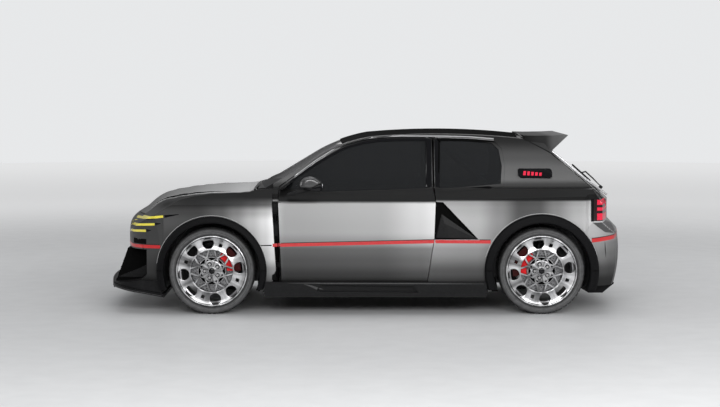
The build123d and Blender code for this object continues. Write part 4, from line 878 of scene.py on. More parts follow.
def grown(outline, by):
    """The outline pushed outwards from its corners' bisectors."""
    count, result = len(outline), []
    for k in range(count):
        a, p, b = (Vector(outline[(k + d) % count]) for d in (-1, 0, 1))
        u, v = (p - a).normalized(), (b - p).normalized()
        n1, n2 = Vector((-u.y, u.x)), Vector((-v.y, v.x))
        n = (n1 + n2).normalized()
        result.append(tuple(p + n * by / max(0.4, n.dot(n1))))
    return result


def ring_strip(name, outline, inner, outer, mat, tree, bodies):
    """A closed frame between an outline's inner and outer offsets."""
    a, b = grown(outline, outer), grown(outline, inner)
    return side_strip(name, a + a[:1], b + b[:1], mat, tree, bodies, columns=120, closed=True, fallback=-0.8)


ring_strip("door_reveal", DOOR_GLASS, -0.001, 0.017, gloss_black, DOOR_SKIN, DOOR_BODY)
ring_strip("quarter_reveal", QUARTER_GLASS, -0.001, 0.024, deep_black, FRAME_SKIN, "shell")
PILLAR_TOP = 1.338
side_strip("door_pillar", [(0.466, PILLAR_TOP), (0.511, PILLAR_TOP)], [(0.466, 0.964), (0.511, 0.975)],
           gloss_black, DOOR_SKIN, DOOR_BODY, columns=10, rows=30, lift=0.0016, fallback=-0.7)
side_strip("body_pillar", [(0.535, PILLAR_TOP), (0.580, PILLAR_TOP)], [(0.535, 0.975), (0.570, 0.964)],
           gloss_black, FRAME_SKIN, "shell", columns=10, rows=30, lift=0.0016, fallback=-0.7)
print("window surrounds ready")

# %% Roof rail line
RAIL_LINE = [
    (-0.560, 1.052), (-0.400, 1.170), (-0.252, 1.261), (-0.162, 1.304), (-0.024, 1.341), (0.107, 1.357),
    (0.273, 1.3625), (0.620, 1.361), (0.820, 1.355), (1.000, 1.340),
]
# Both lines are painted highlights along the roof rail.
for name, high, low in (("rail_line", 0.0045, -0.0045), ("rail_thread", -0.0105, -0.0135)):
    upper, lower = [[(x, z + shift) for x, z in RAIL_LINE] for shift in (high, low)]
    side_strip(name, upper, lower, edge_painted_highlight, SKIN,
               "shell", columns=90, lift=0.0022, thick=0.003, fallback=-0.7)
print("rail line ready")


# %% [markdown]
# ## Wheels
# Each wheel has a low tyre, a machined dish with eight round windows, a lattice centre and five nuts.
# We build one left wheel at the world's middle and stamp it at all four hubs.

# %% Lathe
def face_out(data):
    """Turns every face of a closed mesh outwards."""
    fix = bmesh.new()
    fix.from_mesh(data)
    bmesh.ops.recalc_face_normals(fix, faces=fix.faces)
    fix.to_mesh(data)
    fix.free()


def metres(profile):
    """A profile drawn in millimetres, in metres."""
    return [(r / 1000, y / 1000) for r, y in profile]


def lathe(name, profile, steps, mat, closed=True, cut=None):
    """Turns (radius, depth) points about the wheel's axle; cut can lower a radius by row and step."""
    points, faces, rows = [], [], len(profile)
    for k in range(steps):
        turn = 2 * math.pi * k / steps
        for row, (r, y) in enumerate(profile):
            r = r - cut(row, k) if cut else r
            points.append((r * math.cos(turn), y, r * math.sin(turn)))
    for k in range(steps):
        a, b = k * rows, (k + 1) % steps * rows
        for row in range(rows if closed else rows - 1):
            up = (row + 1) % rows
            faces.append([a + row, a + up, b + up, b + row])
    data = bpy.data.meshes.new(name)
    data.from_pydata(points, [], faces)
    data.materials.append(mat)
    face_out(data)
    data.shade_smooth()
    data.set_sharp_from_angle(angle=math.radians(32))
    return add_piece(name, data)


def stamp(master, name, axle_x, side, body, z=AXLE_Z):
    """A copy of a left-hand piece at a hub, mirrored for the right side."""
    data = master.data.copy()
    data.name = name
    data.transform(Matrix.Translation((axle_x, 0, z)) @ Matrix.Diagonal((1, -SIDES[side], 1, 1)))
    if side == "right":
        data.flip_normals()
    piece = add_piece(name, data)
    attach(piece, body)
    return piece


def apply_modifiers(piece):
    """Bakes a piece's modifiers into its mesh."""
    graph = bpy.context.evaluated_depsgraph_get()
    data = bpy.data.meshes.new_from_object(piece.evaluated_get(graph))
    piece.modifiers.clear()
    piece.data = data
    return piece


def drop(*pieces):
    """Takes helper pieces out of the scene."""
    for piece in pieces:
        bpy.data.objects.remove(piece)


print("wheel tools ready")

# %% Tyre
# Columns: radius and depth behind the tyre's outer face, in millimetres.
SIDEWALL = [
    (275.2, 15), (276.5, 9), (278.5, 6.5), (280.0, 6.0), (281.2, 5.0), (283.5, 5.0), (284.5, 6.0), (289, 4.6),
    (293, 3.2), (294, 2.0), (296.5, 2.0), (297.5, 2.9), (302, 1.3), (306, 0.8), (307, 0.1), (308.6, 0.1),
    (309.6, 1.0), (314, 2.2), (318, 4.2), (321.5, 6.6), (325, 9.8), (328, 13.8), (330.6, 19), (332.0, 24),
]
TYRE_WIDTH, TREAD_R, GROOVE_R = 245, 333, 326
GROOVES = ((52, 7), (88, 9), (118, 9), (148, 9), (186, 7))  # start and width of each
TREAD = []
edge = 28
for start, width in GROOVES:
    TREAD += [(TREAD_R, edge), (TREAD_R, start - 6), (TREAD_R, start), (GROOVE_R, start + 1),
              (GROOVE_R, start + width - 1), (TREAD_R, start + width)]
    edge = start + width + 6
TREAD += [(TREAD_R, edge), (TREAD_R, 217)]
INNER_WALL = [(r, TYRE_WIDTH - y) for r, y in reversed(SIDEWALL)]
PROFILE = SIDEWALL + TREAD + INNER_WALL + [(250, 227), (250, 18)]
TYRE_STEPS = 240
SHOULDER_ROWS = {row for row, (r, y) in enumerate(PROFILE) if r > 325 and (y < 53 or y > 192)}
CENTRE_ROWS = {row for row, (r, y) in enumerate(PROFILE) if r > 330 and 60 <= y <= 186}


def tread_cut(row, step):
    """Depth of the cross grooves: wide ones on the shoulders, fine ones between."""
    if row in SHOULDER_ROWS:
        return 0.005 if step % 5 == 0 else 0
    if row in CENTRE_ROWS:
        return 0.003 if (step + (2 if PROFILE[row][1] > 118 else 0)) % 5 == 0 else 0
    return 0


tyre_profile = [(r, y - 0.900) for r, y in metres(PROFILE)]
tyre_master = lathe("tyre_master", tyre_profile, TYRE_STEPS, tyre_rubber, cut=tread_cut)
print("tyre faces:", len(tyre_master.data.polygons))

# %% Wheel dish
def disc_prism(name, centre, radius, y0, y1, sides, mat, turn=0.0):
    """A short round or many-sided bar along the axle."""
    points = []
    for y in (y0, y1):
        points += [(centre[0] + radius * math.cos(turn + 2 * math.pi * k / sides), y,
                    centre[1] + radius * math.sin(turn + 2 * math.pi * k / sides)) for k in range(sides)]
    faces = [list(range(sides)), list(range(2 * sides - 1, sides - 1, -1))]
    faces += [[k, sides + k, sides + (k + 1) % sides, (k + 1) % sides] for k in range(sides)]
    return new_piece(name, points, faces, mat)


def join(name, pieces):
    """Several pieces as one mesh."""
    base = bmesh.new()
    slots = []
    for piece in pieces:
        for mat in piece.data.materials:
            if mat not in slots:
                slots.append(mat)
        part = piece.data.copy()
        offset = [slots.index(mat) for mat in piece.data.materials]
        for face in part.polygons:
            face.material_index = offset[face.material_index]
        base.from_mesh(part)
        bpy.data.meshes.remove(part)
    data = bpy.data.meshes.new(name)
    base.to_mesh(data)
    base.free()
    for mat in slots:
        data.materials.append(mat)
    drop(*pieces)
    return add_piece(name, data)


def polar(radius, degrees):
    """The (x, z) place at an angle about the axle."""
    return radius * math.cos(math.radians(degrees)), radius * math.sin(math.radians(degrees))


HOLE_TURN, HOLE_SWING = 70.5, 26.5  # degrees
HOLE_RING, HOLE_R, SLOT_RING, SLOT_R = 0.217, 0.0445, 0.209, 0.0195
CUT_FRONT, CUT_BACK = -0.95, -0.80
dish = lathe("dish", metres((
    (163.5, -890.5), (167, -891.6), (172, -890.6), (178, -887.5), (200, -884.5), (225, -884.0), (246, -886.5),
    (254, -889), (258.6, -890.5), (258.6, -879), (240, -872), (200, -870), (172, -872),
    (163.5, -862))), 192, alloy)
cutters = []
for k in range(4):
    angle = 90 * k + HOLE_TURN
    for swing in (-HOLE_SWING, HOLE_SWING):
        cutters.append(disc_prism(f"cut_{k}_{swing}", polar(HOLE_RING, angle + swing), HOLE_R,
                                  CUT_FRONT, CUT_BACK, 48, alloy_dark))
    cutters.append(disc_prism(f"slot_{k}", polar(SLOT_RING, angle), SLOT_R, CUT_FRONT, CUT_BACK, 4,
                              alloy_dark, math.radians(angle + 45)))
cutter = join("cutter", cutters)
cut = dish.modifiers.new("holes", "BOOLEAN")
cut.object = cutter
cut.operation = "DIFFERENCE"
cut.solver = "EXACT"
soft = dish.modifiers.new("soft", "BEVEL")
soft.width = 0.0016
soft.segments = 2
soft.limit_method = "ANGLE"
soft.angle_limit = math.radians(38)
apply_modifiers(dish)
drop(cutter)
dish.data.shade_smooth()
dish.data.set_sharp_from_angle(angle=math.radians(34))
print("dish faces:", len(dish.data.polygons))

# %% Rim, hub and lattice
lip = lathe("lip", metres((
    (262.8, -889), (264, -892), (267, -893), (271, -892.6), (274.4, -890), (274.8, -884), (270, -880),
    (250, -878), (246, -872), (246, -676), (266, -670), (274.4, -668), (274.4, -662), (262, -662),
    (240, -672), (238, -720),
    (238, -868), (256, -876))), 160, alloy)
edge_ring = lathe("edge_ring", metres((
    (258.2, -880), (258.2, -887.6), (264.2, -888.6), (264.2, -880))), 160, gloss_black)
hub = lathe("hub", metres((
    (22, -879), (24, -881), (30, -881.5), (34, -880), (37, -877), (70, -875.5), (76, -876.5), (80, -875),
    (82, -871),
    (82, -846), (22, -846))), 96, alloy)
cap = lathe("cap", metres((
    (0.2, -884.2), (8, -884), (15, -883), (20, -881), (22.6, -878.4), (22.6, -860),
    (0.2, -860))), 64, gloss_black)
ring = lathe("ring", metres((
    (103, -873), (104, -875), (108, -875), (109, -873), (109, -866), (103, -866))), 128, alloy)
wheel_parts = [lip, edge_ring, dish, hub, cap, ring]


def lattice_bar(name, start, end, width, y0, y1, mat):
    """A straight bar with chamfered front edges."""
    a, b = Vector((start[0], 0, start[1])), Vector((end[0], 0, end[1]))
    across = (b - a).normalized().cross(Vector((0, 1, 0))) * width / 2
    chamfer = 0.0022
    points = []
    for p in (a, b):
        for s, y in ((-1, y1), (-1, y0 + chamfer), (-1 + 2 * chamfer / width, y0),
                     (1 - 2 * chamfer / width, y0), (1, y0 + chamfer), (1, y1)):
            q = p + across * s
            points.append((q.x, y, q.z))
    faces = [[k, k + 6, (k + 1) % 6 + 6, (k + 1) % 6] for k in range(6)]
    faces += [[5, 4, 3, 2, 1, 0], [6, 7, 8, 9, 10, 11]]
    return new_piece(name, points, faces, mat)


HUB_R, RING_R, LATTICE_SWING = 0.075, 0.1655, 38
for k in range(8):
    for swing in (-LATTICE_SWING, LATTICE_SWING):
        front_y = -0.874 if swing > 0 else -0.875
        ends = polar(HUB_R, 45 * k), polar(RING_R, 45 * k + swing)
        wheel_parts.append(lattice_bar(f"bar_{k}_{swing}", *ends, 0.0125, front_y, -0.862, alloy))
for k in range(5):
    at = polar(0.054, 108 + 72 * k)
    wheel_parts.append(disc_prism(f"seat_{k}", at, 0.0170, -0.8768, -0.870, 32, deep_black))
    wheel_parts.append(disc_prism(f"nut_{k}", at, 0.0112, -0.8845, -0.872, 6, alloy_dark, 0.3 * k))
    wheel_parts.append(disc_prism(f"nut_top_{k}", at, 0.0062, -0.8862, -0.884, 16, steel_bare))
valve_x, valve_z = polar(0.2455, 70)
valve_line = [(valve_x, y, valve_z) for y in (-0.872, -0.892)]
wheel_parts.append(tube("valve_stem", valve_line, 0.0036, gloss_black))
wheel_parts.append(disc_prism("hub_shadow", (0, 0), 0.106, -0.856, -0.848, 64, deep_black))
wheel_parts.append(lathe("cap_ring", metres((
    (24, -879), (25, -881), (27, -881), (28, -879))), 64, caliper_red))
wheel_master = join("wheel_master", wheel_parts)
wheel_master.data.set_sharp_from_angle(angle=math.radians(34))
print("wheel faces:", len(wheel_master.data.polygons))

# %% Drilled brake discs
HOLES_ROUND, DRILL_R, DISC_FACE_Y = 30, 0.0034, -0.8263
dots, dot_faces = [], []
for row, radius in enumerate((0.100, 0.116, 0.132, 0.148, 0.162)):
    for k in range(HOLES_ROUND):
        x, z = polar(radius, 360 / HOLES_ROUND * (k + 0.35 * row))
        dot_faces.append([len(dots) + j for j in range(8)])
        corners = [polar(DRILL_R, 45 * j) for j in range(8)]
        dots += [(x + dx, DISC_FACE_Y, z + dz) for dx, dz in corners]
disc_master = new_piece("disc_master", dots, dot_faces, deep_black)
print("disc holes:", len(dot_faces))

# %% Stamp the wheels
for end, axle_x in (("front", FRONT_AXLE), ("rear", REAR_AXLE)):
    for side in SIDES:
        body = f"{end}_wheel_{side}"
        tyre = stamp(tyre_master, f"{end}_tread_{side}", axle_x, side, body)
        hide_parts(f"{end}_tyre_{side}")
        wheel = stamp(wheel_master, f"{end}_wheel_dish_{side}", axle_x, side, body)
        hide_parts(f"{end}_rim_{side}")
        stamp(disc_master, f"{end}_disc_holes_{side}", axle_x, side, body)
drop(tyre_master, wheel_master, disc_master)
print("wheels stamped")

# %% [markdown]
# ## Lamp bars, pocket and slits
# The three yellow bars at each corner are cut into the nose in the CAD model.
# Here they get a black bezel above and below, and a dark tail that fades into the wing.
# We also lay a dark lining in the pocket under them, a black strip of painted shade along the bonnet's slits,
# and painted highlights on the slits' edges.

# %% Bezels and tails
BAR_LINES = [
    ((-1.812, 0.726), (-1.554, 0.752)), ((-1.829, 0.678), (-1.626, 0.693)),
    ((-1.839, 0.629), (-1.697, 0.640)),
]
TAIL_LENGTHS = (0.115, 0.045, 0.040)
BAR_HALF, BEZEL_HALF = 0.0066, 0.0120
for number, ((start, end), tail) in enumerate(zip(BAR_LINES, TAIL_LENGTHS)):
    slope = (end[1] - start[1]) / (end[0] - start[0])

    def bar_line(offset, x0=start[0], x1=end[0], z0=start[1], rise=slope):
        return [(x0 + (x1 - x0) * k / 12, z0 + (x1 - x0) * k / 12 * rise + offset) for k in range(13)]

    for edge_name, high, low in (("top", BEZEL_HALF, BAR_HALF), ("foot", -BAR_HALF, -BEZEL_HALF)):
        side_strip(f"bar_bezel_{number}_{edge_name}", bar_line(high), bar_line(low), gloss_black, WING_SKIN,
                   "shell", lift=0.0008, columns=30)
    side_strip(f"bar_front_{number}", bar_line(0.0064)[:6], bar_line(-0.0064)[:6], lamp_yellow, WING_SKIN,
               "shell", lift=0.0065, columns=16)
    tip = (end[0] + tail, end[1] + tail * (slope + 0.06))
    side_strip(f"bar_tail_{number}", [(end[0] + 0.001, end[1] + BEZEL_HALF), (tip[0], tip[1] + 0.0015)],
               [(end[0] + 0.001, end[1] - 0.0090), (tip[0], tip[1] - 0.0015)], gloss_black, WING_SKIN,
               "shell", lift=0.0008, columns=20)
print("lamp bars:", len(BAR_LINES))

# %% Bars round the nose
NOSE_TREE = tree_of("front_bumper", "bonnet")
for number, (start, end) in enumerate(BAR_LINES):
    slope = (end[1] - start[1]) / (end[0] - start[0])
    for part, high, low, mat in (("light", BAR_HALF, -BAR_HALF, lamp_yellow),
                                 ("top", BEZEL_HALF, BAR_HALF, gloss_black),
                                 ("foot", -BAR_HALF, -BEZEL_HALF, gloss_black)):
        front, back = [], []
        for z_shift in (low, high):
            for k in range(17):
                y = -0.655 + 0.165 * k / 16
                x = start[0] - 0.1 * k / 16
                aim = Vector((x, y, start[1] + slope * (x - start[0]) + z_shift))
                hit = NOSE_TREE.ray_cast(Vector((-2.3, aim.y, aim.z)), Vector((1, 0, 0)))[0]
                hit = hit if hit is not None and hit.x < x + 0.06 else NOSE_TREE.find_nearest(aim)[0]
                front.append(hit + Vector((-0.0012, 0, 0)))
                back.append(hit + Vector((0.001, 0, 0)))
        slab_pair(f"nose_bar_{number}_{part}", front, back, 2, 17, mat, "shell")
print("nose bars ready")

# %% Bumper pockets and bonnet slits
side_strip("bumper_pocket", [(-1.8115, 0.5755), (-1.6985, 0.5755)],
           [(-1.8115, 0.5365), (-1.6985, 0.5365)], deep_black, WING_SKIN, "shell", lift=0.0002, thick=0.001,
           columns=24, rows=6,
           depth=lambda at: skin_y(at.x, 0.5300, WING_SKIN, -0.8))
BONNET_SKIN = tree_of("bonnet")
SLIT_LINE = [
    # x, y of the slit's middle, half width
    (-1.690, -0.560, 0.003), (-1.610, -0.556, 0.022), (-1.520, -0.553, 0.043), (-1.430, -0.550, 0.053),
    (-1.330, -0.550, 0.050), (-1.220, -0.552, 0.036), (-1.130, -0.556, 0.018), (-1.068, -0.560, 0.004),
]


def from_above(x, y, tree, last):
    """The height of the skin under a point."""
    hit = tree.ray_cast(Vector((x, y, 1.6)), Vector((0, 0, -1)))[0]
    return last if hit is None or hit.z < last - 0.05 else hit.z


def slit_half(x):
    """Half the slit's width at a place along it."""
    half = 0.0
    for (x0, _, w0), (x1, _, w1) in zip(SLIT_LINE, SLIT_LINE[1:]):
        if x0 - 1e-4 <= x <= x1 + 1e-4:
            half = w0 + (w1 - w0) * (x - x0) / (x1 - x0)
    return half


SLIT_STEPS, NOSE_Z = 49, 0.76
slit_middle = resample([(x, y) for x, y, _ in SLIT_LINE], SLIT_STEPS)
# The slit is a black strip of painted shade, and its edges are painted highlights.
for name, offsets, mat, lift in (("bonnet_slit", (-1.0, -0.5, 0.0, 0.5, 1.0), deep_black, 0.0014),
                                 ("slit_edge_outer", (-1.18, -1.06, -0.94), edge_painted_highlight, 0.0024),
                                 ("slit_edge_inner", (0.94, 1.03, 1.12), edge_painted_highlight, 0.0024)):
    front, back = [], []
    for offset in offsets:
        last = NOSE_Z
        for at in slit_middle:
            half = slit_half(at.x)
            y = at.y + offset * half
            beyond = at.y + (1.6 if offset > 0 else -1.6) * half
            last = from_above(at.x, y, BONNET_SKIN, from_above(at.x, beyond, BONNET_SKIN, last))
            front.append((at.x, y, last + lift))
            back.append((at.x, y, last + lift - 0.002))
    slab_pair(name, front, back, len(offsets), SLIT_STEPS, mat, "bonnet")
print("slits and pockets ready")


# %% [markdown]
# ## Arch flares
# A black strip of painted shadow in the gap and a thin painted highlight on the body's edge part each flare
# from the body.
# Both follow a circle about the axle, so we make their lines from angles and lay them on the skin.

# %% Flare edges
def arc_line(axle_x, radius, start, end, count=64):
    """Points (x, z) of an arc about an axle, angles in degrees from the rear."""
    spokes = [polar(radius, start + (end - start) * k / (count - 1)) for k in range(count)]
    return [(axle_x + x, AXLE_Z + z) for x, z in spokes]


FLARE_SKIN = tree_of("arch_flares")
FLARE_R = {"front": 0.422, "rear": 0.439}
for end, axle_x, skin, spans in (("front", FRONT_AXLE, WING_SKIN, ((172, 64), (64, 33))),
                                 ("rear", REAR_AXLE, FRAME_SKIN, ((166, 90), (90, 15)))):
    radius = FLARE_R[end]
    for part, (start, stop) in enumerate(spans):
        # The gap strip is painted shadow, the edge strip a painted highlight.
        side_strip(f"{end}_flare_gap_{part}", arc_line(axle_x, radius + 0.0045, start, stop),
                   arc_line(axle_x, radius - 0.002, start, stop), deep_black, skin, "shell", lift=0.0010,
                   columns=64)
        side_strip(f"{end}_flare_edge_{part}", arc_line(axle_x, radius + 0.0085, start, stop),
                   arc_line(axle_x, radius + 0.0045, start, stop), edge_painted_highlight, skin, "shell", lift=0.0012,
                   columns=64)
    for place, angle in (("rear", 1.5), ("front", 178.5)):
        turn = 1.2 if place == "front" else -1.2
        side_strip(f"{end}_flare_joint_{place}", arc_line(axle_x, radius - 0.001, angle, angle + turn, 4),
                   arc_line(axle_x, 0.376, angle, angle + turn, 4), deep_black, FLARE_SKIN, "shell",
                   lift=0.0006, thick=0.001, columns=4, rows=10)
print("flare edges ready")

# %% [markdown]
# ## Lamps at the tail
# Each tail lamp is a black housing that wraps the corner, with three red bars of light in it.
# We shoot rays outward from a point inside the car, so the bars turn the corner with the housing.


# %% Corner strips
def corner_strip(name, centre, angles, low, high, mat, tree, lift=0.0014, thick=0.003, columns=28, rows=3):
    """A band of the shell round a left corner, mirrored; angles in degrees from the rear, to the left."""
    front, back = [], []
    for r in range(rows):
        for c in range(columns):
            share = c / (columns - 1)
            z0, z1 = [(e[0] + (e[1] - e[0]) * share) if isinstance(e, tuple) else e for e in (low, high)]
            turn = math.radians(angles[0] + (angles[1] - angles[0]) * share)
            away = Vector((math.cos(turn), -math.sin(turn), 0))
            inner = Vector((centre[0], centre[1], z0 + (z1 - z0) * r / (rows - 1)))
            hit = tree.ray_cast(inner + away * 1.4, -away)[0]
            if hit is None:
                hit = tree.find_nearest(inner + away * 0.5)[0]
            front.append(hit + away * lift)
            back.append(hit + away * (lift - thick))
    slab_pair(name, front, back, rows, columns, mat, "shell", turned=True)


LAMP_SKIN = tree_of("tail_lamps")
LAMP_CENTRE = (1.62, -0.50)
for number, (low, high) in enumerate(((0.842, 0.880), (0.797, 0.822), (0.724, 0.775))):
    corner_strip(f"tail_bar_{number}", LAMP_CENTRE, (66, 20), low, high, lamp_red, LAMP_SKIN)
side_strip("lamp_border", [(1.7265, 0.8890), (1.7500, 0.8890)], [(1.7285, 0.7140), (1.7500, 0.7140)],
           gloss_black, FRAME_SKIN, "shell", lift=0.0012, columns=6, rows=10)
print("tail bars: 3 a side")

# %% Stripe round nose and tail
TAIL_SKIN = tree_of("rear_bumper")
NOSE_SKIN = tree_of("front_bumper")
corner_strip("stripe_tail_wrap", (1.30, 0.0), (26.2, 0), (0.586, 0.592), (0.616, 0.622), stripe_red,
             TAIL_SKIN, thick=0.002, lift=0.0012)
corner_strip("stripe_nose_wrap", (-1.00, 0.0), (136.5, 180), 0.5035, 0.5285, stripe_red, NOSE_SKIN,
             thick=0.002, lift=0.0012, columns=60)
print("stripe wraps ready")

# %% Pillar lamps
PILLAR_SKIN = tree_of("side_lamps")
POD_TOP = [(1.188, 1.074), (1.190, 1.096), (1.206, 1.111), (1.434, 1.111), (1.450, 1.096), (1.452, 1.074)]
POD_FOOT = [(1.188, 1.074), (1.190, 1.052), (1.206, 1.037), (1.434, 1.037), (1.450, 1.052), (1.452, 1.074)]
side_strip("pillar_pod", POD_TOP, POD_FOOT, gloss_black, tree_of("side_lamps", "side_frame_left"), "shell",
           lift=0.0022, thick=0.006, columns=48, rows=8, fallback=-0.66)
for number in range(5):
    x = 1.222 + 0.031 * number
    high, low = 1.092 - 0.003 * number, 1.060 - 0.001 * number
    side_strip(f"pillar_lamp_{number}", [(x + 0.004, high), (x + 0.024, high)],
               [(x, low), (x + 0.020, low)], lamp_red, PILLAR_SKIN, "shell", lift=0.0042, thick=0.003,
               columns=6, rows=4, fallback=-0.66)
print("pillar lamps ready")

# %% [markdown]
# ## Tailgate edge and tail facet
# The tailgate's side edge catches the sky, so a bright strip runs from the spoiler to the lamp as a painted
# highlight.
# Under the lamp a darker strip of painted shade marks a facet pressed into the quarter.


# %% Plates in pairs
def side_prism(name, outline, y0, y1, mat, bevel=0.003):
    """A plate between two depths with softened edges."""
    count = len(outline)
    points = [(x, y, z) for y in (y0, y1) for x, z in outline]
    faces = [list(range(count)), list(range(2 * count - 1, count - 1, -1))]
    faces += [[k, k + count, (k + 1) % count + count, (k + 1) % count] for k in range(count)]
    piece = new_piece(name, points, faces, mat)
    face_out(piece.data)
    soft = piece.modifiers.new("soft", "BEVEL")
    soft.width = bevel
    soft.segments = 3
    soft.limit_method = "ANGLE"
    apply_modifiers(piece)
    piece.data.shade_smooth()
    piece.data.set_sharp_from_angle(angle=math.radians(40))
    return piece


def both(make, *args, body=DOOR_BODY):
    """Makes a left piece and its mirror image."""
    made = []
    for side in SIDES:
        piece = make(*args)
        if side == "right":
            piece.data.transform(Matrix.Diagonal((1, -1, 1, 1)))
            piece.data.flip_normals()
        piece.name = f"{args[0]}_{side}"
        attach(piece, body if isinstance(body, str) else body[side])
        made.append(piece)
    return made


print("plate tools ready")


# %% Tail trim
GATE_LINE = [(1.450, 1.240), (1.459, 1.251), (1.700, 1.052), (1.893, 0.910), (1.884, 0.898), (1.690, 1.038)]
both(side_prism, "gate_edge", GATE_LINE, -0.606, -0.574, gate_painted_highlight, 0.004, body="tailgate")
side_strip("tail_facet", [(1.744, 0.7045), (1.800, 0.7045), (1.880, 0.7045), (1.950, 0.672)],
           [(1.744, 0.7030), (1.790, 0.666), (1.845, 0.628), (1.950, 0.612)], facet_painted_shade, FRAME_SKIN, "shell",
           lift=0.0010, thick=0.002, columns=40, rows=8)
INTAKE_Y = -0.6435
side_strip("intake_ramp", [(-1.936, 0.268), (-1.850, 0.300), (-1.775, 0.330), (-1.700, 0.368)],
           [(-1.936, 0.262), (-1.840, 0.2605), (-1.752, 0.260), (-1.700, 0.300)], satin_black, NOSE_SKIN,
           "shell", lift=0, thick=0.002, columns=24, rows=4, depth=INTAKE_Y)
print("tail trim and intake ramp ready")

# %% [markdown]
# ## Door mirrors
# A mirror is an egg-shaped cap over a darker base. Its glass faces the rear, and a thin foot holds it.
# We loft the side view's outline outwards and let a subdivision modifier round it.

# %% Mirror parts
CAP_LINE = [
    (-0.515, 0.984), (-0.507, 1.022), (-0.481, 1.053), (-0.438, 1.067), (-0.395, 1.060), (-0.360, 1.040),
    (-0.333, 1.016), (-0.358, 1.006), (-0.392, 0.982), (-0.425, 0.971), (-0.470, 0.975),
]
BASE_LINE = [
    (-0.500, 0.976), (-0.430, 0.972), (-0.392, 0.984), (-0.358, 1.008), (-0.336, 1.014), (-0.334, 0.962),
    (-0.345, 0.950), (-0.400, 0.948), (-0.440, 0.960),
]


def egg(name, outline, centre, stations, mat, levels=2):
    """A closed body lofted along y; stations are (y, size)."""
    line = [tuple(p) for p in resample(outline + outline[:1], 25)[:-1]]
    count, points, faces = len(line), [], []
    for y, size in stations:
        points += [(centre[0] + (x - centre[0]) * size, y, centre[1] + (z - centre[1]) * size)
                   for x, z in line]
    for row in range(len(stations) - 1):
        for k in range(count):
            a, b = row * count + k, row * count + (k + 1) % count
            faces.append([a, b, b + count, a + count])
    faces += [list(range(count))[::-1], [len(points) - count + k for k in range(count)]]
    piece = new_piece(name, points, faces, mat, smooth=True)
    face_out(piece.data)
    soft = piece.modifiers.new("soft", "SUBSURF")
    soft.levels = soft.render_levels = levels
    return apply_modifiers(piece)


caps = both(egg, "mirror_cap", CAP_LINE, (-0.420, 1.012), [
    (-0.862, 0.52), (-0.864, 0.62), (-0.885, 0.86), (-0.915, 1.0), (-0.950, 0.99), (-0.975, 0.86),
    (-0.984, 0.62), (-0.985, 0.4)], mirror_cap)
both(egg, "mirror_base", BASE_LINE, (-0.400, 0.982), [
    (-0.846, 0.60), (-0.848, 0.70), (-0.885, 0.88), (-0.915, 0.97), (-0.950, 0.95), (-0.972, 0.80),
    (-0.978, 0.5)], gloss_black)
print("mirror caps:", len(caps))

# %% Mirror foot and glass
both(side_prism, "mirror_foot", [
    (-0.612, 0.928), (-0.585, 0.936), (-0.500, 0.962), (-0.440, 0.974), (-0.385, 0.970), (-0.380, 0.955),
    (-0.430, 0.948), (-0.500, 0.934), (-0.560, 0.916), (-0.610, 0.914)], -0.880, -0.818, satin_black, 0.004)
both(egg, "mirror_glass", [
    (-0.3365, 0.972), (-0.3325, 0.980), (-0.3325, 1.008), (-0.3365, 1.014), (-0.3400, 0.990)],
    (-0.3365, 0.993), [(-0.878, 0.7), (-0.886, 0.95), (-0.955, 0.95), (-0.963, 0.7)], mirror_glass, 1)
for side, cap in zip(SIDES, caps):
    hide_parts(f"mirror_{side}")
print("mirrors ready")

# %% [markdown]
# ## Spoiler, wiper and low trim
# The roof spoiler is a flat blade on two fins that narrow downwards, and it ends over the rear window.
# A cranked arm carries the rear wiper's blade slantwise up the glass.
# Dark splash plates close the arches behind the tyres, and thin painted highlights mark the lip and the
# skirt.

# %% Spoiler and wiper
TAIL_X, ROOF_Z = 2.040, 1.4033
plate = side_prism("spoiler_plate", [
    (1.242, ROOF_Z - 0.075), (1.242, ROOF_Z - 0.038), (1.332, ROOF_Z - 0.040),
    (TAIL_X - 0.560, ROOF_Z - 0.038),
    (TAIL_X - 0.454, ROOF_Z - 0.033), (TAIL_X - 0.470, ROOF_Z - 0.048), (TAIL_X - 0.640, ROOF_Z - 0.068)],
    -0.545, 0.545, spoiler_paint, 0.004)
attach(plate, "tailgate")
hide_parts("roof_spoiler")
both(side_prism, "spoiler_fin", [
    (TAIL_X - 0.804, ROOF_Z - 0.070), (TAIL_X - 0.770, ROOF_Z - 0.046), (TAIL_X - 0.452, ROOF_Z - 0.034),
    (TAIL_X - 0.584, ROOF_Z - 0.160), (TAIL_X - 0.608, ROOF_Z - 0.179)], -0.549, -0.520, spoiler_paint, 0.003,
     body="tailgate")
BOSS_X, BOSS_Z = 1.912, 0.912
wiper_arm = tube("wiper_arm", [
    (BOSS_X - 0.020, 0, BOSS_Z - 0.012), (BOSS_X + 0.014, 0, BOSS_Z + 0.017),
    (BOSS_X - 0.062, -0.040, BOSS_Z + 0.091), (BOSS_X - 0.137, -0.170, BOSS_Z + 0.150),
    (BOSS_X - 0.181, -0.250, BOSS_Z + 0.1445)], 0.006, satin_black, "tailgate")
tube("wiper_blade", [
    (BOSS_X - 0.090, -0.100, BOSS_Z + 0.073), (BOSS_X - 0.181, -0.250, BOSS_Z + 0.1445),
    (BOSS_X - 0.272, -0.400, BOSS_Z + 0.216)], 0.007, satin_black, "tailgate")
tube("wiper_boss", [(BOSS_X - 0.026, 0, BOSS_Z - 0.030), (BOSS_X + 0.020, 0, BOSS_Z + 0.023)], 0.015,
     satin_black, "tailgate", sides=24)
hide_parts("rear_wiper")
print("spoiler and wiper ready")

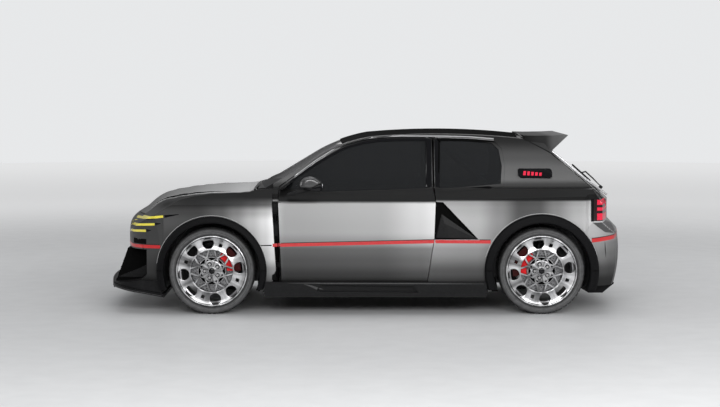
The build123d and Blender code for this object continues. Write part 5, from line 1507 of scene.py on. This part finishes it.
# %% Low trim
for name, outline in (
        ("front_splash", [(-0.840, 0.165), (-0.826, 0.165), (-0.826, 0.262), (-0.840, 0.262)]),
        ("rear_splash", [(0.975, 0.165), (1.022, 0.165), (1.006, 0.262), (0.975, 0.262)])):
    both(side_prism, name, outline, -0.800, -0.560, deep_black, 0.003, body="shell")
LIP_SKIN = tree_of("front_lip", "front_splitter")
side_strip("blade_edge", [(-1.975, 0.2070), (-1.850, 0.1865), (-1.700, 0.1620), (-1.580, 0.1420)],
           [(-1.975, 0.2035), (-1.850, 0.1820), (-1.700, 0.1575), (-1.580, 0.1375)], ridge_painted_highlight, LIP_SKIN,
           "shell", columns=40, thick=0.003, fallback=-0.8)
side_strip("lip_slot", [(-1.965, 0.2210), (-1.850, 0.2040), (-1.700, 0.1800), (-1.590, 0.1620)],
           [(-1.965, 0.2160), (-1.850, 0.1930), (-1.700, 0.1680), (-1.590, 0.1500)], deep_black, LIP_SKIN,
           "shell", columns=40, thick=0.003, fallback=-0.8)
SKIRT_SKIN = tree_of("side_skirts")
side_strip("skirt_ridge", [(-0.600, 0.2465), (-0.300, 0.2475), (0.500, 0.2455), (0.905, 0.2400)],
           [(-0.600, 0.2445), (-0.300, 0.2395), (0.500, 0.2375), (0.905, 0.2380)], ridge_painted_highlight, SKIRT_SKIN,
           "shell", columns=80, fallback=-0.92)
side_strip("skirt_lip", [(-0.480, 0.2380), (-0.420, 0.2280), (-0.375, 0.2130), (-0.330, 0.1930)],
           [(-0.480, 0.2360), (-0.425, 0.2160), (-0.385, 0.1960), (-0.330, 0.1900)], ridge_painted_highlight, SKIRT_SKIN,
           "shell", columns=24, fallback=-0.92)
print("low trim ready")

# %% [markdown]
# ## Cabin
# Two bucket seats stand behind the dark glass, each with a base, a back and two side bolsters.
# We inflate one set of pads as cloth, cap how far each point may move, and mirror it for the other seat.
# Red straps run over each seat from the bar behind it.

# %% Seat pads
SEAT_Y = 0.365
PAD_PARTS = [
    # name, outline (x, z), y from, y to
    ("seat_base", [(-0.180, 0.318), (-0.166, 0.396), (0.090, 0.362), (0.180, 0.378), (0.196, 0.316),
                   (-0.128, 0.276)], -0.192, 0.192),
    ("seat_back", [(0.212, 0.410), (0.372, 0.985), (0.414, 0.985), (0.318, 0.330), (0.222, 0.322)],
     -0.192, 0.192),
    ("seat_wing", [(-0.178, 0.316), (-0.170, 0.442), (0.048, 0.454), (0.160, 0.556), (0.250, 0.850),
                   (0.370, 1.004), (0.412, 0.996), (0.310, 0.306), (-0.126, 0.276)], -0.239, -0.205),
]
VOXEL, CAP, STEPS, PRESSURE = 0.012, 0.010, 20, 4


def inflate(piece):
    """Remeshes a pad, swells it as cloth, caps its movement and smooths it."""
    remesh = piece.modifiers.new("voxels", "REMESH")
    remesh.mode = "VOXEL"
    remesh.voxel_size = VOXEL
    apply_modifiers(piece)
    start = [v.co.copy() for v in piece.data.vertices]
    cloth = piece.modifiers.new("cloth", "CLOTH")
    cloth.settings.use_pressure = True
    cloth.settings.uniform_pressure_force = PRESSURE
    cloth.settings.effector_weights.gravity = 0
    cloth.point_cache.frame_end = STEPS
    scene = bpy.context.scene
    for frame in range(1, STEPS + 1):
        scene.frame_set(frame)
    swollen = piece.evaluated_get(bpy.context.evaluated_depsgraph_get()).data
    moved = [v.co.copy() for v in swollen.vertices]
    piece.modifiers.remove(cloth)
    scene.frame_set(1)
    for vert, a, b in zip(piece.data.vertices, start, moved):
        step = b - a
        vert.co = a + step * min(1.0, CAP / max(step.length, 1e-9))
    smooth = piece.modifiers.new("smooth", "SUBSURF")
    smooth.levels = smooth.render_levels = 1
    apply_modifiers(piece)
    piece.data.shade_smooth()
    return piece


def placed(master, name, mat, centre_y, flip=False):
    """A copy of a pad at a seat, mirrored if asked."""
    data = master.data.copy()
    if flip:
        data.transform(Matrix.Diagonal((1, -1, 1, 1)))
        data.flip_normals()
    data.transform(Matrix.Translation((0, centre_y, 0)))
    data.materials.clear()
    data.materials.append(mat)
    piece = add_piece(name, data)
    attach(piece, "shell")
    return piece


pads = {name: inflate(side_prism(name + "_master", outline, y0, y1, seat_cloth, 0.012))
        for name, outline, y0, y1 in PAD_PARTS}
SEAT_PLACES = {"left": -SEAT_Y, "right": SEAT_Y}
for side, centre in SEAT_PLACES.items():
    base = placed(pads["seat_base"], f"seat_base_{side}", seat_cloth, centre)
    placed(pads["seat_back"], f"seat_back_{side}", seat_cloth, centre)
    placed(pads["seat_wing"], f"seat_wing_outer_{side}", seat_side, centre)
    placed(pads["seat_wing"], f"seat_wing_inner_{side}", seat_side, centre, flip=True)
    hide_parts("seats")
drop(*pads.values())
print("seat pads:", len(PAD_PARTS))

# %% Seat rails and straps
BELT_LINE = [
    (0.545, 0.918), (0.430, 1.004), (0.392, 1.010), (0.352, 0.960), (0.270, 0.690), (0.205, 0.470),
    (0.150, 0.415),
]
RAIL_SIDE = [(-0.130, 0.192), (0.288, 0.192), (0.288, 0.290), (-0.130, 0.268)]
for side, centre in SEAT_PLACES.items():
    for number, offset in enumerate((-0.170, 0.170)):
        middle = centre + offset
        rail = side_prism(f"seat_rail_{side}_{number}", RAIL_SIDE, middle - 0.018, middle + 0.018,
                          chassis_black)
        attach(rail, "shell")
    for number, offset in enumerate((-0.075, 0.075)):
        line = resample(BELT_LINE, 40)
        edges = [centre + offset + half for half in (-0.022, 0.022)]
        front = [(at.x - 0.004, y, at.y + 0.004) for y in edges for at in line]
        back = [(at.x + 0.001, y, at.y + 0.001) for y in edges for at in line]
        belt = slab(f"belt_{side}_{number}", front, back, 2, 40, belt_red)
        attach(belt, "shell")
    buckle = side_prism(f"buckle_{side}", [(0.120, 0.398), (0.172, 0.402), (0.176, 0.428), (0.122, 0.424)],
                        centre - 0.035, centre + 0.035, steel_bare, 0.004)
    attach(buckle, "shell")
print("straps ready")

# %% Dashboard trim
SCREENS = [
    # name, outline (x, z), y from, y to
    ("driver_screen", [(-0.318, 0.842), (-0.306, 0.842), (-0.326, 0.914), (-0.338, 0.914)], -0.520, -0.210),
    ("centre_screen", [(-0.312, 0.730), (-0.300, 0.730), (-0.318, 0.860), (-0.330, 0.860)], -0.120, 0.120),
]
for name, outline, y0, y1 in SCREENS:
    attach(side_prism(name, outline, y0, y1, gloss_black), "shell")
for number, y in enumerate((-0.590, -0.170, 0.170, 0.590)):
    tube(f"air_vent_{number}", [(-0.325, y, 0.800), (-0.300, y, 0.796)], 0.034, gloss_black, "shell",
         sides=32)
print("dashboard trim ready")
